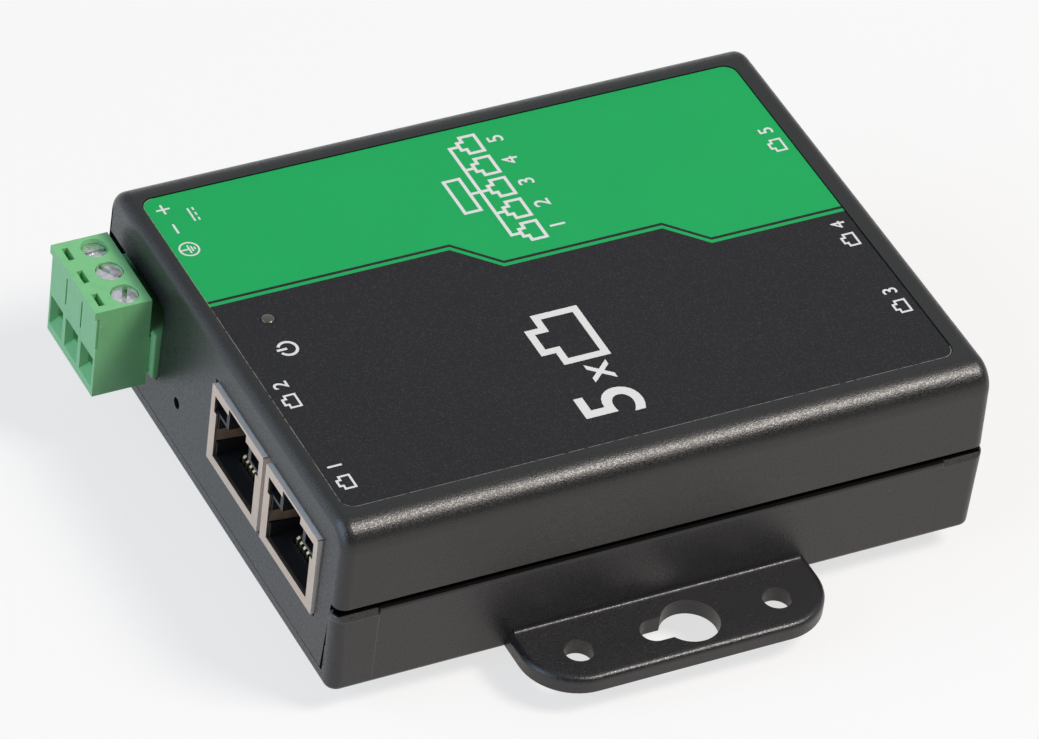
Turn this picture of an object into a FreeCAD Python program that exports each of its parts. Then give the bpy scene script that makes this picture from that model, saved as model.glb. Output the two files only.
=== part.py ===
"""Five-port DIN rail network switch: a parametric FreeCAD document, millimetres.

Frame: +Z up out of the labelled roof, X along the long side, -X the end with two jacks and the
power terminal, +X the end with three jacks. The origin is the centre of the base's underside.
"""
import FreeCAD, Part
import math
import os
import re
import Sketcher

os.makedirs("parts", exist_ok=True)
doc = FreeCAD.newDocument("RailSwitch")

SIZES = {
    # housing
    "case_length": 98.0,
    "case_width": 77.0,
    "case_height": 28.0,
    "cover_wall": 1.5,
    "end_wall": 1.8,
    "roof": 2.0,
    "base_floor": 2.0,
    "draft_angle": 1.0,
    "long_edge_radius": 4.0,
    "end_edge_radius": 1.7,
    "part_line": 14.6,
    "shadow_gap": 0.9,
    "rim_top": "=part_line - shadow_gap",
    "rim_round": 0.7,
    "rim_bevel_rise": 1.15,
    "rim_bevel_depth": 0.75,
    "rim_bevel_length": 6.5,
    "foot_radius": 0.8,
    "tongue": 0.7,
    "tongue_rise": 2.0,
    "seam_gap": 0.15,
    "apron_bottom": 2.6,
    "apron_inset_top": 2.2,
    "apron_inset_low": 3.1,
    "sill_top": 2.1,
    "apron_gap": 0.3,
    "end_rib_top": 6.9,
    # ears
    "ear_span": 100.4,
    "ear_width": 45.2,
    "ear_thick": 2.5,
    "ear_corner": 8.0,
    "ear_edge": 0.9,
    "ear_root": 0.45,
    "ear_root_lip": 0.03,
    "ear_hole": 4.2,
    "ear_hole_x": 15.0,
    "ear_hole_edge": 5.7,
    "ear_hole_y": "=ear_span / 2 - ear_hole_edge",
    "keyhole_head": 8.2,
    "keyhole_head_x": 1.8,
    "keyhole_neck": 4.2,
    "keyhole_neck_x": -3.6,
    # screws through the case
    "post_inset": 25.0,
    "post_edge": 7.1,
    "post_x": "=case_length / 2 - post_inset",
    "post_y": "=case_width / 2 - post_edge",
    "post_size": 8.4,
    "boss_size": 7.4,
    "screw_size": 3.0,
    "screw_hole": 3.4,
    "thread_slack": 0.04,
    "screw_head": 5.6,
    "screw_head_height": 2.0,
    "screw_recess": 6.2,
    "screw_recess_depth": 2.6,
    "screw_length": 12.0,
    "pilot_depth": 9.0,
    "recess_bit": 1.0,
    "bit_half": 1.5,
    "bit_wide": 0.6,
    "head_round": 0.6,
    # board
    "board_top": 8.6,
    "board_thick": 1.6,
    "board_gap": 0.25,
    "chip_size": 14.0,
    "chip_height": 1.4,
    "chip_y": -2.0,
    "magnetics_inset": 8.0,
    "magnetics_x": "=case_length / 2 - jack_depth - magnetics_inset",
    "magnetics_width": 9.5,
    "magnetics_height": 5.5,
    "pair_magnetics_length": 28.0,
    "magnetics_gap": 0.4,
    "pair_magnetics_y": "=can_low_y - can_size / 2 - magnetics_gap - pair_magnetics_length / 2",
    "row_magnetics_length": 42.0,
    "crystal_length": 11.0,
    "crystal_width": 4.6,
    "crystal_height": 3.5,
    "crystal_y": -14.0,
    "supply_y": 24.0,
    "inductor_size": 7.0,
    "inductor_height": 4.0,
    "inductor_x": -14.0,
    "regulator_width": 5.0,
    "regulator_length": 6.2,
    "regulator_height": 1.6,
    "regulator_x": -4.0,
    "light_length": 1.6,
    "light_width": 0.8,
    "light_height": 0.9,
    "light_gap": 0.7,
    "can_size": 6.3,
    "can_height": 7.7,
    "can_pitch": 8.0,
    "can_inset": 2.0,
    "can_gap": 2.55,
    "can_x": "=case_length / 2 - jack_depth - can_inset",
    "can_low_y": "=jack_b_y + jack_width / 2 + can_gap",
    "can_high_y": "=can_low_y + can_pitch",
    # label and light pipe
    "label_thick": 0.25,
    "label_recess": 0.4,
    "label_gap": 0.12,
    "label_inset_low": 2.4,
    "label_inset_high": 3.9,
    "label_inset_side": 5.2,
    "label_corner": 2.0,
    "pipe_size": 1.9,
    "pipe_gap": 0.1,
    "pipe_inset": 8.9,
    "pipe_x": "=pipe_inset - case_length / 2",
    "pipe_y": 4.9,
    "pipe_flange": 3.5,
    "pipe_flange_thick": 1.0,
    # jacks
    "jack_width": 16.2,
    "jack_height": 13.1,
    "jack_depth": 21.0,
    "jack_lift": 0.4,
    "jack_proud": 0.3,
    "jack_gap": 0.3,
    "sheet": 0.3,
    "window_half": 6.3,
    "window_low": 1.9,
    "window_high": 12.0,
    "window_step": 9.3,
    "window_wide": 7.0,
    "latch_half": 2.75,
    "latch_high": 13.1,
    "insert_slack": 0.1,
    "cavity_half": 5.95,
    "cavity_low": 2.1,
    "cavity_high": 9.0,
    "cavity_depth": 13.0,
    "latch_way_half": 3.1,
    "latch_way_high": 12.5,
    "light_way_inner": 3.9,
    "light_way_outer": 6.9,
    "light_way_low": 9.5,
    "light_way_high": 11.9,
    "light_way_depth": 6.0,
    "well_half": 4.2,
    "well_front": 3.0,
    "well_back": 16.6,
    "finger_low": 4.6,
    "finger_high": 6.6,
    "finger_reach": 5.0,
    "finger_dip": 0.5,
    "wire_thick": 0.35,
    "wire_width": 0.45,
    "wire_pitch": 1.02,
    "wire_low": 0.6,
    "wire_step": 1.4,
    "wire_knee": 3.1,
    "wire_rise": 4.1,
    "wire_inset": 0.3,
    "wire_reach": 0.7,
    "jack_pair_gap": 1.0,
    "jack_row_gap": 2.1,
    "jack_b_y": -6.65,
    "jack_a_y": "=jack_b_y - jack_width - jack_pair_gap",
    "jack_d_y": 0.0,
    "jack_c_y": "=jack_d_y - jack_width - jack_row_gap",
    "jack_e_y": "=jack_d_y + jack_width + jack_row_gap",
    # power terminal
    "pole_pitch": 5.08,
    "terminal_edge": 11.1,
    "terminal_y": "=case_width / 2 - terminal_edge",
    "header_width": 17.3,
    "header_height": 7.8,
    "header_proud": 0.8,
    "header_front": "=case_length / 2 + header_proud",
    "header_depth": 11.6,
    "header_wall": 0.9,
    "header_edge": 0.45,
    "header_back": 1.6,
    "pin_size": 1.0,
    "pin_reach": 7.4,
    "pin_rise": 3.9,
    "pin_slack": 0.02,
    "pin_tail": 1.5,
    "plug_gap": 0.2,
    "plug_reach": 8.2,
    "plug_brow": 0.4,
    "plug_drop": 1.6,
    "plug_rise": 13.4,
    "plug_face": "=header_front + plug_reach",
    "plug_out": "=plug_face + plug_brow",
    "plug_low": "=board_top - plug_drop",
    "plug_high": "=board_top + plug_rise",
    "plug_lip": 1.3,
    "plug_slack": 0.15,
    "nose_length": 8.6,
    "bore_reach": 3.2,
    "bore_x": "=header_front + bore_reach",
    "bore_size": 3.9,
    "head_size": 3.7,
    "head_height": 1.4,
    "head_slot": 0.7,
    "head_slot_depth": 0.8,
    "head_rest": 0.05,
    "bore_depth": 2.25,
    "ledge_thick": 0.45,
    "ledge_top": "=plug_high - bore_depth",
    "ledge_low": "=ledge_top - ledge_thick",
    "shank_size": 2.9,
    "shank_slack": 0.05,
    "shank_over_bar": 0.05,
    "shank_tip": "=bar_top + shank_over_bar",
    "screw_lift": 0.55,
    "chamber_ahead": 2.3,
    "chamber_behind": 2.1,
    "chamber_front": "=bore_x + chamber_ahead",
    "chamber_back": "=bore_x - chamber_behind",
    "chamber_half": 2.1,
    "chamber_floor": 0.9,
    "chamber_low": "=plug_low + chamber_floor",
    "cage_length": 4.0,
    "cage_half": 2.0,
    "cage_rest": 0.15,
    "cage_low": "=chamber_low + cage_rest",
    "cage_floor": 1.0,
    "cage_over_bar": 1.75,
    "cage_top": "=bar_top + cage_over_bar",
    "cage_head": 1.5,
    "cage_window_half": 1.55,
    "bar_half": 1.4,
    "bar_over_pin": 1.4,
    "bar_top": "=board_top + pin_rise + bar_over_pin",
    "bar_thick": 0.8,
    "socket_half": 1.2,
    "socket_under_pin": 1.3,
    "socket_low": "=board_top + pin_rise - socket_under_pin",
    "socket_length": 7.9,
    "socket_bore": 1.2,
    "entry_half": 1.75,
    "entry_rise": 2.5,
    "entry_under_bar": 0.5,
    "entry_low": "=plug_low + entry_rise",
    "entry_high": "=bar_top - entry_under_bar",
    "entry_flare": 1.1,
    "entry_flare_depth": 1.5,
    "slot_inset": 1.1,
    "slot_x": "=plug_face - slot_inset",
    "slot_long": 2.6,
    "slot_wide": 0.9,
    "slot_depth": 4.0,
    "rib_groove": 0.35,
    "rib_over_bar": 1.4,
    "rib_groove_low": "=bar_top + rib_over_bar",
    "opening_gap": 0.25,
    "opening_under_plug": 1.3,
    "opening_under_board": 0.3,
    "opening_near": "=terminal_y - header_width / 2 - opening_gap",
    "opening_high": "=plug_high - opening_under_plug",
    "opening_low": "=board_top - opening_under_board",
    "slit_wide": 0.5,
    "slit_rise": 4.0,
    "slit_high": "=opening_high + slit_rise",
    "pinhole_size": 1.7,
    "pinhole_y": 12.2,
    "pinhole_z": 9.4,
    # rail clip
    "rail_width": 35.0,
    "rail_thick": 1.0,
    "rail_slack": 0.4,
    "clip_width": 20.0,
    "clip_plate": 1.5,
    "clip_hook": 1.4,
    "clip_hold": 2.2,
    "clip_tab": 5.5,
    "clip_tab_thick": 1.1,
    "clip_lead": 0.6,
    "clip_lead_tip": 1.4,
    "clip_slot_half": 3.0,
    "clip_slot_edge": 1.5,
    "clip_slot_root": 1.0,
    "clip_slot_depth": 2.5,
    "clip_screw_x": 7.0,
    "clip_screw_length": 7.0,
    "clip_boss": 7.0,
    "clip_boss_height": 3.2,
}

sheet = doc.addObject("Spreadsheet::Sheet", "Sheet")
for row, (alias, entry) in enumerate(SIZES.items(), start=1):
    sheet.set(f"A{row}", alias)
    sheet.set(f"B{row}", str(entry))
    sheet.setAlias(f"B{row}", alias)
doc.recompute()


def size(alias):
    """One size as a plain number of millimetres."""
    return float(getattr(sheet, alias))


WORD = re.compile(r"[a-z][a-z_]+")


def bound(formula):
    """A formula of sheet aliases as a FreeCAD expression."""
    return WORD.sub(lambda m: "Sheet." + m.group() if m.group() in SIZES else m.group(), formula)


def new_body(label):
    """One sub-part as a PartDesign body; its label names the node."""
    body = doc.addObject("PartDesign::Body", label)
    body.Label = label
    body.AllowCompound = True
    return body


def new_sketch(body, role, name, height=None):
    """Sketch on the body's own origin plane, moved along its normal by a formula."""
    sketch = body.newObject("Sketcher::SketchObject", name)
    plane = next(f for f in body.Origin.OriginFeatures if f.Role == role)
    sketch.AttachmentSupport = [(plane, "")]
    sketch.MapMode = "FlatFace"
    if height is not None:
        sketch.setExpression("AttachmentOffset.Base.z", bound(height))
    return sketch


def place(sketch, geo, point, across, up):
    """Dimension one point from the sketch origin by two formulas."""
    for kind, axis, formula in (("DistanceX", -2, across), ("DistanceY", -1, up)):
        if formula == "0":
            sketch.addConstraint(Sketcher.Constraint("PointOnObject", geo, point, axis))
            continue
        index = sketch.addConstraint(Sketcher.Constraint(kind, -1, 1, geo, point, 1.0 + geo))
        sketch.setExpression(f"Constraints[{index}]", bound(formula))


def polygon(sketch, corners):
    """Closed outline through corners given as pairs of formulas."""
    first = sketch.GeometryCount
    count = len(corners)
    spots = [
        FreeCAD.Vector(9 * math.cos(2 * math.pi * i / count), 9 * math.sin(2 * math.pi * i / count), 0)
        for i in range(count)
    ]
    for i in range(count):
        sketch.addGeometry(Part.LineSegment(spots[i], spots[(i + 1) % count]), False)
    for i in range(count):
        following = first + (i + 1) % count
        sketch.addConstraint(Sketcher.Constraint("Coincident", first + i, 2, following, 1))
    for i, (across, up) in enumerate(corners):
        place(sketch, first + i, 1, across, up)


def rectangle(sketch, left, right, low, high):
    """Rectangle whose four sides are formulas."""
    first = sketch.GeometryCount
    spots = [FreeCAD.Vector(x, y, 0) for x, y in ((-3, -2), (3, -2), (3, 2), (-3, 2))]
    for i in range(4):
        sketch.addGeometry(Part.LineSegment(spots[i], spots[(i + 1) % 4]), False)
    for i in range(4):
        sketch.addConstraint(
            Sketcher.Constraint("Coincident", first + i, 2, first + (i + 1) % 4, 1)
        )
        kind = "Horizontal" if i % 2 == 0 else "Vertical"
        sketch.addConstraint(Sketcher.Constraint(kind, first + i))
    place(sketch, first, 1, left, low)
    place(sketch, first + 2, 1, right, high)


def circle(sketch, across, up, size):
    """Circle by centre formulas and a diameter formula."""
    geo = sketch.addGeometry(
        Part.Circle(FreeCAD.Vector(1, 1, 0), FreeCAD.Vector(0, 0, 1), 1.0), False
    )
    place(sketch, geo, 3, across, up)
    index = sketch.addConstraint(Sketcher.Constraint("Diameter", geo, 2.0))
    sketch.setExpression(f"Constraints[{index}]", bound(size))


def pad(body, sketch, length, name, back=False, middle=False, taper=None):
    """Pad a sketch by a formula."""
    feature = body.newObject("PartDesign::Pad", name)
    feature.Profile = sketch
    feature.setExpression("Length", bound(length))
    feature.Reversed = back
    feature.Midplane = middle
    if taper is not None:
        feature.setExpression("TaperAngle", bound(taper))
    doc.recompute()
    return feature


def pocket(body, sketch, length, name, back=False, middle=False):
    """Cut a sketch by a formula; the volume must fall."""
    before = body.Shape.Volume
    feature = body.newObject("PartDesign::Pocket", name)
    feature.Profile = sketch
    feature.setExpression("Length", bound(length))
    feature.Reversed = back
    feature.Midplane = middle
    doc.recompute()
    if not feature.Shape.Volume < before - 1e-4:
        raise RuntimeError(f"{body.Label}: {name} removes nothing")
    return feature


def edge_names(shape, test):
    """Names of the edges that pass a test of their bounding box."""
    return [f"Edge{i}" for i, edge in enumerate(shape.Edges, start=1) if test(edge.BoundBox)]


def round_edges(body, test, radius, name, kind="PartDesign::Fillet"):
    """Fillet, or chamfer, the edges of the tip that pass a test."""
    tip = body.Tip
    names = edge_names(tip.Shape, test)
    if not names:
        raise RuntimeError(f"{body.Label}: {name} found no edges")
    feature = body.newObject(kind, name)
    feature.Base = (tip, names)
    feature.setExpression("Radius" if kind.endswith("Fillet") else "Size", bound(radius))
    doc.recompute()
    if feature.Shape.isNull() or not feature.Shape.isValid():
        raise RuntimeError(f"{body.Label}: {name} fails on {len(names)} edges")
    return feature


def flat_at(box, low, high, level, slack=0.01):
    """Whether a box's span lies flat at a level."""
    return abs(box[low] - level) < slack and abs(box[high] - level) < slack


def spans(box):
    """A bounding box as a plain list: x, y and z lows and highs."""
    return (box.XMin, box.XMax, box.YMin, box.YMax, box.ZMin, box.ZMax)


HALF_X = size("case_length") / 2
HALF_Y = size("case_width") / 2


# ---------------------------------------------------------------- housing
def make_top_cover():
    """Moulded cover: rounded roof over two end walls that reach down as aprons."""
    body = new_body("top_cover")
    outline = new_sketch(body, "XY_Plane", "CoverOutline", "apron_bottom")
    rectangle(outline, "-case_length / 2", "case_length / 2", "-case_width / 2", "case_width / 2")
    pad(body, outline, "case_height - apron_bottom", "CoverBlock", taper="-draft_angle")
    top = size("case_height")

    def long_edge(box):
        return flat_at(spans(box), 4, 5, top) and box.YLength < 0.1

    round_edges(body, long_edge, "long_edge_radius", "RoofEdges")

    def end_edge(box):
        return box.XLength < 1.0 and min(abs(box.XMin), abs(box.XMax)) > HALF_X - 1.0 and (
            box.ZMax > size("apron_bottom") + 0.1
        )

    round_edges(body, end_edge, "end_edge_radius", "EndEdges")

    skirt = new_sketch(body, "XZ_Plane", "SkirtCut")
    rectangle(
        skirt, "-case_length / 2 + end_wall", "case_length / 2 - end_wall", "-1", "part_line"
    )
    pocket(body, skirt, "case_width + 2", "Skirt", middle=True)
    for side, name in (("-", "Near"), ("", "Far")):
        corner = new_sketch(body, "YZ_Plane", "CornerCut" + name)
        polygon(
            corner,
            [
                (f"{side}(case_width / 2 - apron_inset_top)", "part_line"),
                (f"{side}(case_width / 2 - apron_inset_low)", "sill_top"),
                (f"{side}(case_width / 2 + 1)", "sill_top"),
                (f"{side}(case_width / 2 + 1)", "part_line"),
            ],
        )
        pocket(body, corner, "case_length + 2", "Corner" + name, middle=True)

    hollow = new_sketch(body, "XY_Plane", "HollowOutline", "part_line - 1")
    rectangle(
        hollow,
        "-case_length / 2 + end_wall",
        "case_length / 2 - end_wall",
        "-case_width / 2 + cover_wall",
        "case_width / 2 - cover_wall",
    )
    pocket(body, hollow, "case_height - roof - part_line + 1", "Hollow", back=True)

    bosses = new_sketch(body, "XY_Plane", "BossOutline", "board_top + seam_gap")
    for x in ("-post_x", "post_x"):
        for y in ("-post_y", "post_y"):
            circle(bosses, x, y, "boss_size")
    pad(body, bosses, "case_height - roof - board_top - seam_gap + 0.5", "Bosses")
    pilots = new_sketch(body, "XY_Plane", "PilotOutline", "board_top")
    for x in ("-post_x", "post_x"):
        for y in ("-post_y", "post_y"):
            circle(pilots, x, y, "screw_size + thread_slack")
    pocket(body, pilots, "pilot_depth", "Pilots", back=True)

    jack_low = "board_top + jack_lift - jack_gap"
    jack_high = "board_top + jack_lift + jack_height + jack_gap"
    window = new_sketch(body, "YZ_Plane", "TwoJackWindow", "-case_length / 2 - 1")
    rectangle(
        window,
        "jack_a_y - jack_width / 2 - jack_gap",
        "jack_b_y + jack_width / 2 + jack_gap",
        jack_low,
        jack_high,
    )
    pocket(body, window, "end_wall + 2", "TwoJacks", back=True)
    window = new_sketch(body, "YZ_Plane", "ThreeJackWindow", "case_length / 2 + 1")
    for jack in ("jack_c_y", "jack_d_y", "jack_e_y"):
        rectangle(
            window,
            f"{jack} - jack_width / 2 - jack_gap",
            f"{jack} + jack_width / 2 + jack_gap",
            jack_low,
            jack_high,
        )
    pocket(body, window, "end_wall + 2", "ThreeJacks")
    gate = new_sketch(body, "YZ_Plane", "TerminalWindow", "-case_length / 2 - 1")
    far_edge = "case_width / 2 - cover_wall"
    polygon(
        gate,
        [
            ("opening_near", "opening_low"),
            (far_edge, "opening_low"),
            (far_edge, "slit_high"),
            (far_edge + " - slit_wide", "slit_high"),
            (far_edge + " - slit_wide", "opening_high"),
            ("opening_near", "opening_high"),
        ],
    )
    pocket(body, gate, "end_wall + 2", "Terminal", back=True)
    pin = new_sketch(body, "YZ_Plane", "PinholeOutline", "-case_length / 2 - 1")
    circle(pin, "pinhole_y", "pinhole_z", "pinhole_size")
    pocket(body, pin, "end_wall + 2", "Pinhole", back=True)

    tray = new_sketch(body, "XY_Plane", "LabelRecessOutline", "case_height - label_recess")
    rectangle(
        tray,
        "-case_length / 2 + label_inset_low",
        "case_length / 2 - label_inset_high",
        "-case_width / 2 + label_inset_side",
        "case_width / 2 - label_inset_side",
    )
    pocket(body, tray, "label_recess + 1", "LabelRecess", back=True)

    def recess_corner(box):
        return (
            box.XLength < 0.01
            and box.YLength < 0.01
            and abs(box.ZMin - (top - size("label_recess"))) < 0.01
            and abs(box.ZMax - top) < 0.01
        )

    round_edges(body, recess_corner, "label_corner", "LabelCorners")
    pipe = new_sketch(body, "XY_Plane", "PipeHoleOutline", "case_height - roof - 1")
    circle(pipe, "pipe_x", "pipe_y", "pipe_size + 2 * pipe_gap")
    pocket(body, pipe, "roof + 2", "PipeHole", back=True)
    return body


def make_base_tray():
    """Moulded base with a bevelled rim, an inner tongue and two mounting ears."""
    body = new_body("base_tray")
    outline = new_sketch(body, "XY_Plane", "RimOutline", "rim_top")
    rectangle(outline, "-case_length / 2", "case_length / 2", "-case_width / 2", "case_width / 2")
    pad(body, outline, "rim_top", "BaseBlock", back=True, taper="-draft_angle")
    rim = size("rim_top")

    def upright(box):
        return box.ZLength > rim - 0.1

    round_edges(body, upright, "end_edge_radius", "BaseCorners")

    def foot(box):
        return flat_at(spans(box), 4, 5, 0.0)

    round_edges(body, foot, "foot_radius", "FootEdges")

    def rim_edge(box):
        return flat_at(spans(box), 4, 5, rim)

    round_edges(body, rim_edge, "rim_round", "RimRounding")
    for end, back, where in (("-", True, "Low"), ("", False, "High")):
        for side, name in (("-", "Near"), ("", "Far")):
            bevel = new_sketch(body, "YZ_Plane", "RimBevel" + where + name, f"{end}case_length / 2")
            polygon(
                bevel,
                [
                    (f"{side}(case_width / 2 + 0.5)", "rim_top + 0.5"),
                    (f"{side}(case_width / 2 + 0.5)", "rim_top - rim_bevel_rise"),
                    (f"{side}case_width / 2", "rim_top - rim_bevel_rise"),
                    (f"{side}(case_width / 2 - rim_bevel_depth)", "rim_top"),
                    (f"{side}(case_width / 2 - rim_bevel_depth)", "rim_top + 0.5"),
                ],
            )
            pocket(body, bevel, "rim_bevel_length", "Bevel" + where + name, back=back)

    tongue = new_sketch(body, "XY_Plane", "TongueOutline", "rim_top - 1")
    rectangle(
        tongue,
        "-case_length / 2 + end_wall + seam_gap",
        "case_length / 2 - end_wall - seam_gap",
        "-case_width / 2 + cover_wall + seam_gap",
        "case_width / 2 - cover_wall - seam_gap",
    )
    pad(body, tongue, "tongue_rise + 1", "TongueBlock")

    ears = new_sketch(body, "XY_Plane", "EarOutline")
    rectangle(ears, "-ear_width / 2", "ear_width / 2", "-ear_span / 2", "ear_span / 2")
    pad(body, ears, "ear_thick", "Ears")
    ear_y = size("ear_span") / 2

    def ear_corner(box):
        return (
            box.XLength < 0.01
            and box.YLength < 0.01
            and box.ZLength > 1
            and min(abs(box.YMin), abs(box.YMax)) > ear_y - 0.01
        )

    round_edges(body, ear_corner, "ear_corner", "EarCorners")

    def ear_rim(box):
        outside = min(abs(box.YMin), abs(box.YMax)) > HALF_Y - 1 and max(
            abs(box.YMin), abs(box.YMax)
        ) > HALF_Y + 1
        return outside and flat_at(spans(box), 4, 5, size("ear_thick"))

    round_edges(body, ear_rim, "ear_edge", "EarEdges")
    wall = "case_width / 2 - (rim_top - ear_thick - ear_root) * tan(draft_angle)"
    foot_y = f"({wall} + ear_root + ear_root_lip)"
    foot_top = "ear_thick + ear_root + ear_root_lip"
    roots = new_sketch(body, "YZ_Plane", "EarRootOutline")
    rectangle(roots, f"-{foot_y}", f"0.5 - ({wall})", "ear_thick - 0.5", foot_top)
    rectangle(roots, f"{wall} - 0.5", foot_y, "ear_thick - 0.5", foot_top)
    pad(body, roots, "ear_width - 2 * ear_edge", "EarRoots", middle=True)
    rounds = new_sketch(body, "YZ_Plane", "EarRootRound")
    for side in ("-", ""):
        circle(rounds, f"{side}{foot_y}", foot_top, "2 * ear_root")
    pocket(body, rounds, "ear_width", "EarRootRounds", middle=True)

    hollow = new_sketch(body, "XY_Plane", "TrayOutline", "base_floor")
    rectangle(
        hollow,
        "-case_length / 2 + end_wall + seam_gap + tongue",
        "case_length / 2 - end_wall - seam_gap - tongue",
        "-case_width / 2 + cover_wall + seam_gap + tongue",
        "case_width / 2 - cover_wall - seam_gap - tongue",
    )
    pocket(body, hollow, "case_height", "TrayHollow", back=True)

    for end, direction, name in (("-", True, "Low"), ("", False, "High")):
        gate = new_sketch(body, "YZ_Plane", "ApronSeat" + name, f"{end}(case_length / 2 + 1)")
        polygon(
            gate,
            [
                ("-(case_width / 2 - apron_inset_top) - apron_gap", "part_line + 2"),
                ("-(case_width / 2 - apron_inset_low) - apron_gap", "sill_top"),
                ("case_width / 2 - apron_inset_low + apron_gap", "sill_top"),
                ("case_width / 2 - apron_inset_top + apron_gap", "part_line + 2"),
            ],
        )
        pocket(body, gate, "end_wall + seam_gap + 1", "Apron" + name, back=direction)
    ends = new_sketch(body, "YZ_Plane", "EndGapOutline")
    rectangle(
        ends,
        "-case_width / 2 + cover_wall + seam_gap + tongue",
        "case_width / 2 - cover_wall - seam_gap - tongue",
        "end_rib_top",
        "case_height",
    )
    pocket(body, ends, "case_length + 2", "EndGap", middle=True)

    posts = new_sketch(body, "XY_Plane", "PostOutline", "base_floor - 0.5")
    for x in ("-post_x", "post_x"):
        for y in ("-post_y", "post_y"):
            circle(posts, x, y, "post_size")
    pad(body, posts, "board_top - board_thick - base_floor + 0.5", "Posts")
    clip = new_sketch(body, "XY_Plane", "ClipBossOutline", "base_floor - 0.5")
    for x in ("-clip_screw_x", "clip_screw_x"):
        circle(clip, x, "0", "clip_boss")
    pad(body, clip, "clip_boss_height + 0.5", "ClipBosses")
    holes = new_sketch(body, "XY_Plane", "PostHoleOutline")
    for x in ("-post_x", "post_x"):
        for y in ("-post_y", "post_y"):
            circle(holes, x, y, "screw_hole")
    pocket(body, holes, "board_top", "PostHoles", back=True)
    sinks = new_sketch(body, "XY_Plane", "ScrewRecessOutline")
    for x in ("-post_x", "post_x"):
        for y in ("-post_y", "post_y"):
            circle(sinks, x, y, "screw_recess")
    pocket(body, sinks, "screw_recess_depth", "ScrewRecesses", back=True)
    threads = new_sketch(body, "XY_Plane", "ClipHoleOutline")
    for x in ("-clip_screw_x", "clip_screw_x"):
        circle(threads, x, "0", "screw_size + thread_slack")
    pocket(body, threads, "base_floor + clip_boss_height + 1", "ClipHoles", back=True)

    bolts = new_sketch(body, "XY_Plane", "EarHoleOutline")
    for x in ("-ear_hole_x", "ear_hole_x"):
        for y in ("-ear_hole_y", "ear_hole_y"):
            circle(bolts, x, y, "ear_hole")
    for y in ("-ear_hole_y", "ear_hole_y"):
        circle(bolts, "keyhole_head_x", y, "keyhole_head")
    pocket(body, bolts, "ear_thick + 1", "EarHoles", back=True)
    necks = new_sketch(body, "XY_Plane", "KeyholeNeckOutline")
    for y in ("-ear_hole_y", "ear_hole_y"):
        rectangle(
            necks,
            "keyhole_neck_x",
            "keyhole_head_x",
            f"{y} - keyhole_neck / 2",
            f"{y} + keyhole_neck / 2",
        )
    pocket(body, necks, "ear_thick + 1", "KeyholeNecks", back=True)
    tips = new_sketch(body, "XY_Plane", "KeyholeTipOutline")
    for y in ("-ear_hole_y", "ear_hole_y"):
        circle(tips, "keyhole_neck_x", y, "keyhole_neck")
    pocket(body, tips, "ear_thick + 1", "KeyholeTips", back=True)
    return body


def make_front_label():
    """Printed overlay that lies in the roof's shallow recess."""
    body = new_body("front_label")
    outline = new_sketch(body, "XY_Plane", "LabelOutline", "case_height - label_recess")
    rectangle(
        outline,
        "-case_length / 2 + label_inset_low + label_gap",
        "case_length / 2 - label_inset_high - label_gap",
        "-case_width / 2 + label_inset_side + label_gap",
        "case_width / 2 - label_inset_side - label_gap",
    )
    pad(body, outline, "label_thick", "LabelSheet")

    def upright(box):
        return box.ZLength > 0.2 and box.XLength < 0.01 and box.YLength < 0.01

    round_edges(body, upright, "label_corner - label_gap", "LabelRounding")
    hole = new_sketch(body, "XY_Plane", "LabelHoleOutline", "case_height - roof")
    circle(hole, "pipe_x", "pipe_y", "pipe_size + 2 * pipe_gap")
    pocket(body, hole, "roof + 1", "LabelHole", back=True)
    return body


def make_light_pipe():
    """Clear pipe that carries the power light through the roof."""
    body = new_body("light_pipe")
    stem = new_sketch(body, "XY_Plane", "PipeOutline", "board_top + light_height + light_gap")
    circle(stem, "pipe_x", "pipe_y", "pipe_size")
    stem_top = "case_height - label_recess + label_thick"
    pad(body, stem, f"{stem_top} - board_top - light_height - light_gap", "PipeStem")
    flange = new_sketch(body, "XY_Plane", "FlangeOutline", "case_height - roof")
    circle(flange, "pipe_x", "pipe_y", "pipe_flange")
    pad(body, flange, "pipe_flange_thick", "PipeFlange", back=True)
    return body


# ---------------------------------------------------------------- board and what stands on it
def make_circuit_board():
    """Printed board clamped between the base posts and the cover bosses."""
    body = new_body("circuit_board")
    outline = new_sketch(body, "XY_Plane", "BoardOutline", "board_top - board_thick")
    end = "case_length / 2 - end_wall - seam_gap - tongue - board_gap"
    side = "case_width / 2 - cover_wall - seam_gap - tongue - board_gap"
    rectangle(outline, f"-({end})", end, f"-({side})", side)
    pad(body, outline, "board_thick", "BoardSheet")
    holes = new_sketch(body, "XY_Plane", "BoardHoleOutline", "board_top - board_thick - 1")
    for x in ("-post_x", "post_x"):
        for y in ("-post_y", "post_y"):
            circle(holes, x, y, "screw_hole")
    pocket(body, holes, "board_thick + 2", "BoardHoles", back=True)
    return body


def make_chip(label, middle, sizes):
    """Flat component body that stands on the board, by its middle and its three sizes."""
    x, y = middle
    across, deep, tall = sizes
    block = doc.addObject("Part::Box", label)
    block.Label = label
    block.setExpression("Length", bound(across))
    block.setExpression("Width", bound(deep))
    block.setExpression("Height", bound(tall))
    block.setExpression("Placement.Base.x", bound(f"{x} - {across} / 2"))
    block.setExpression("Placement.Base.y", bound(f"{y} - {deep} / 2"))
    block.setExpression("Placement.Base.z", bound("board_top"))
    return block


def make_capacitors():
    """Two electrolytic capacitors of the power input, one group."""
    body = new_body("input_capacitors")
    cans = new_sketch(body, "XY_Plane", "CanOutline", "board_top")
    for y in ("can_high_y", "can_low_y"):
        circle(cans, "-can_x", y, "can_size")
    pad(body, cans, "can_height", "Cans")
    return body


# ---------------------------------------------------------------- shielded jacks
JACKS = {1: ("jack_a_y", -1), 2: ("jack_b_y", -1), 3: ("jack_c_y", 1), 4: ("jack_d_y", 1),
         5: ("jack_e_y", 1)}


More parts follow.
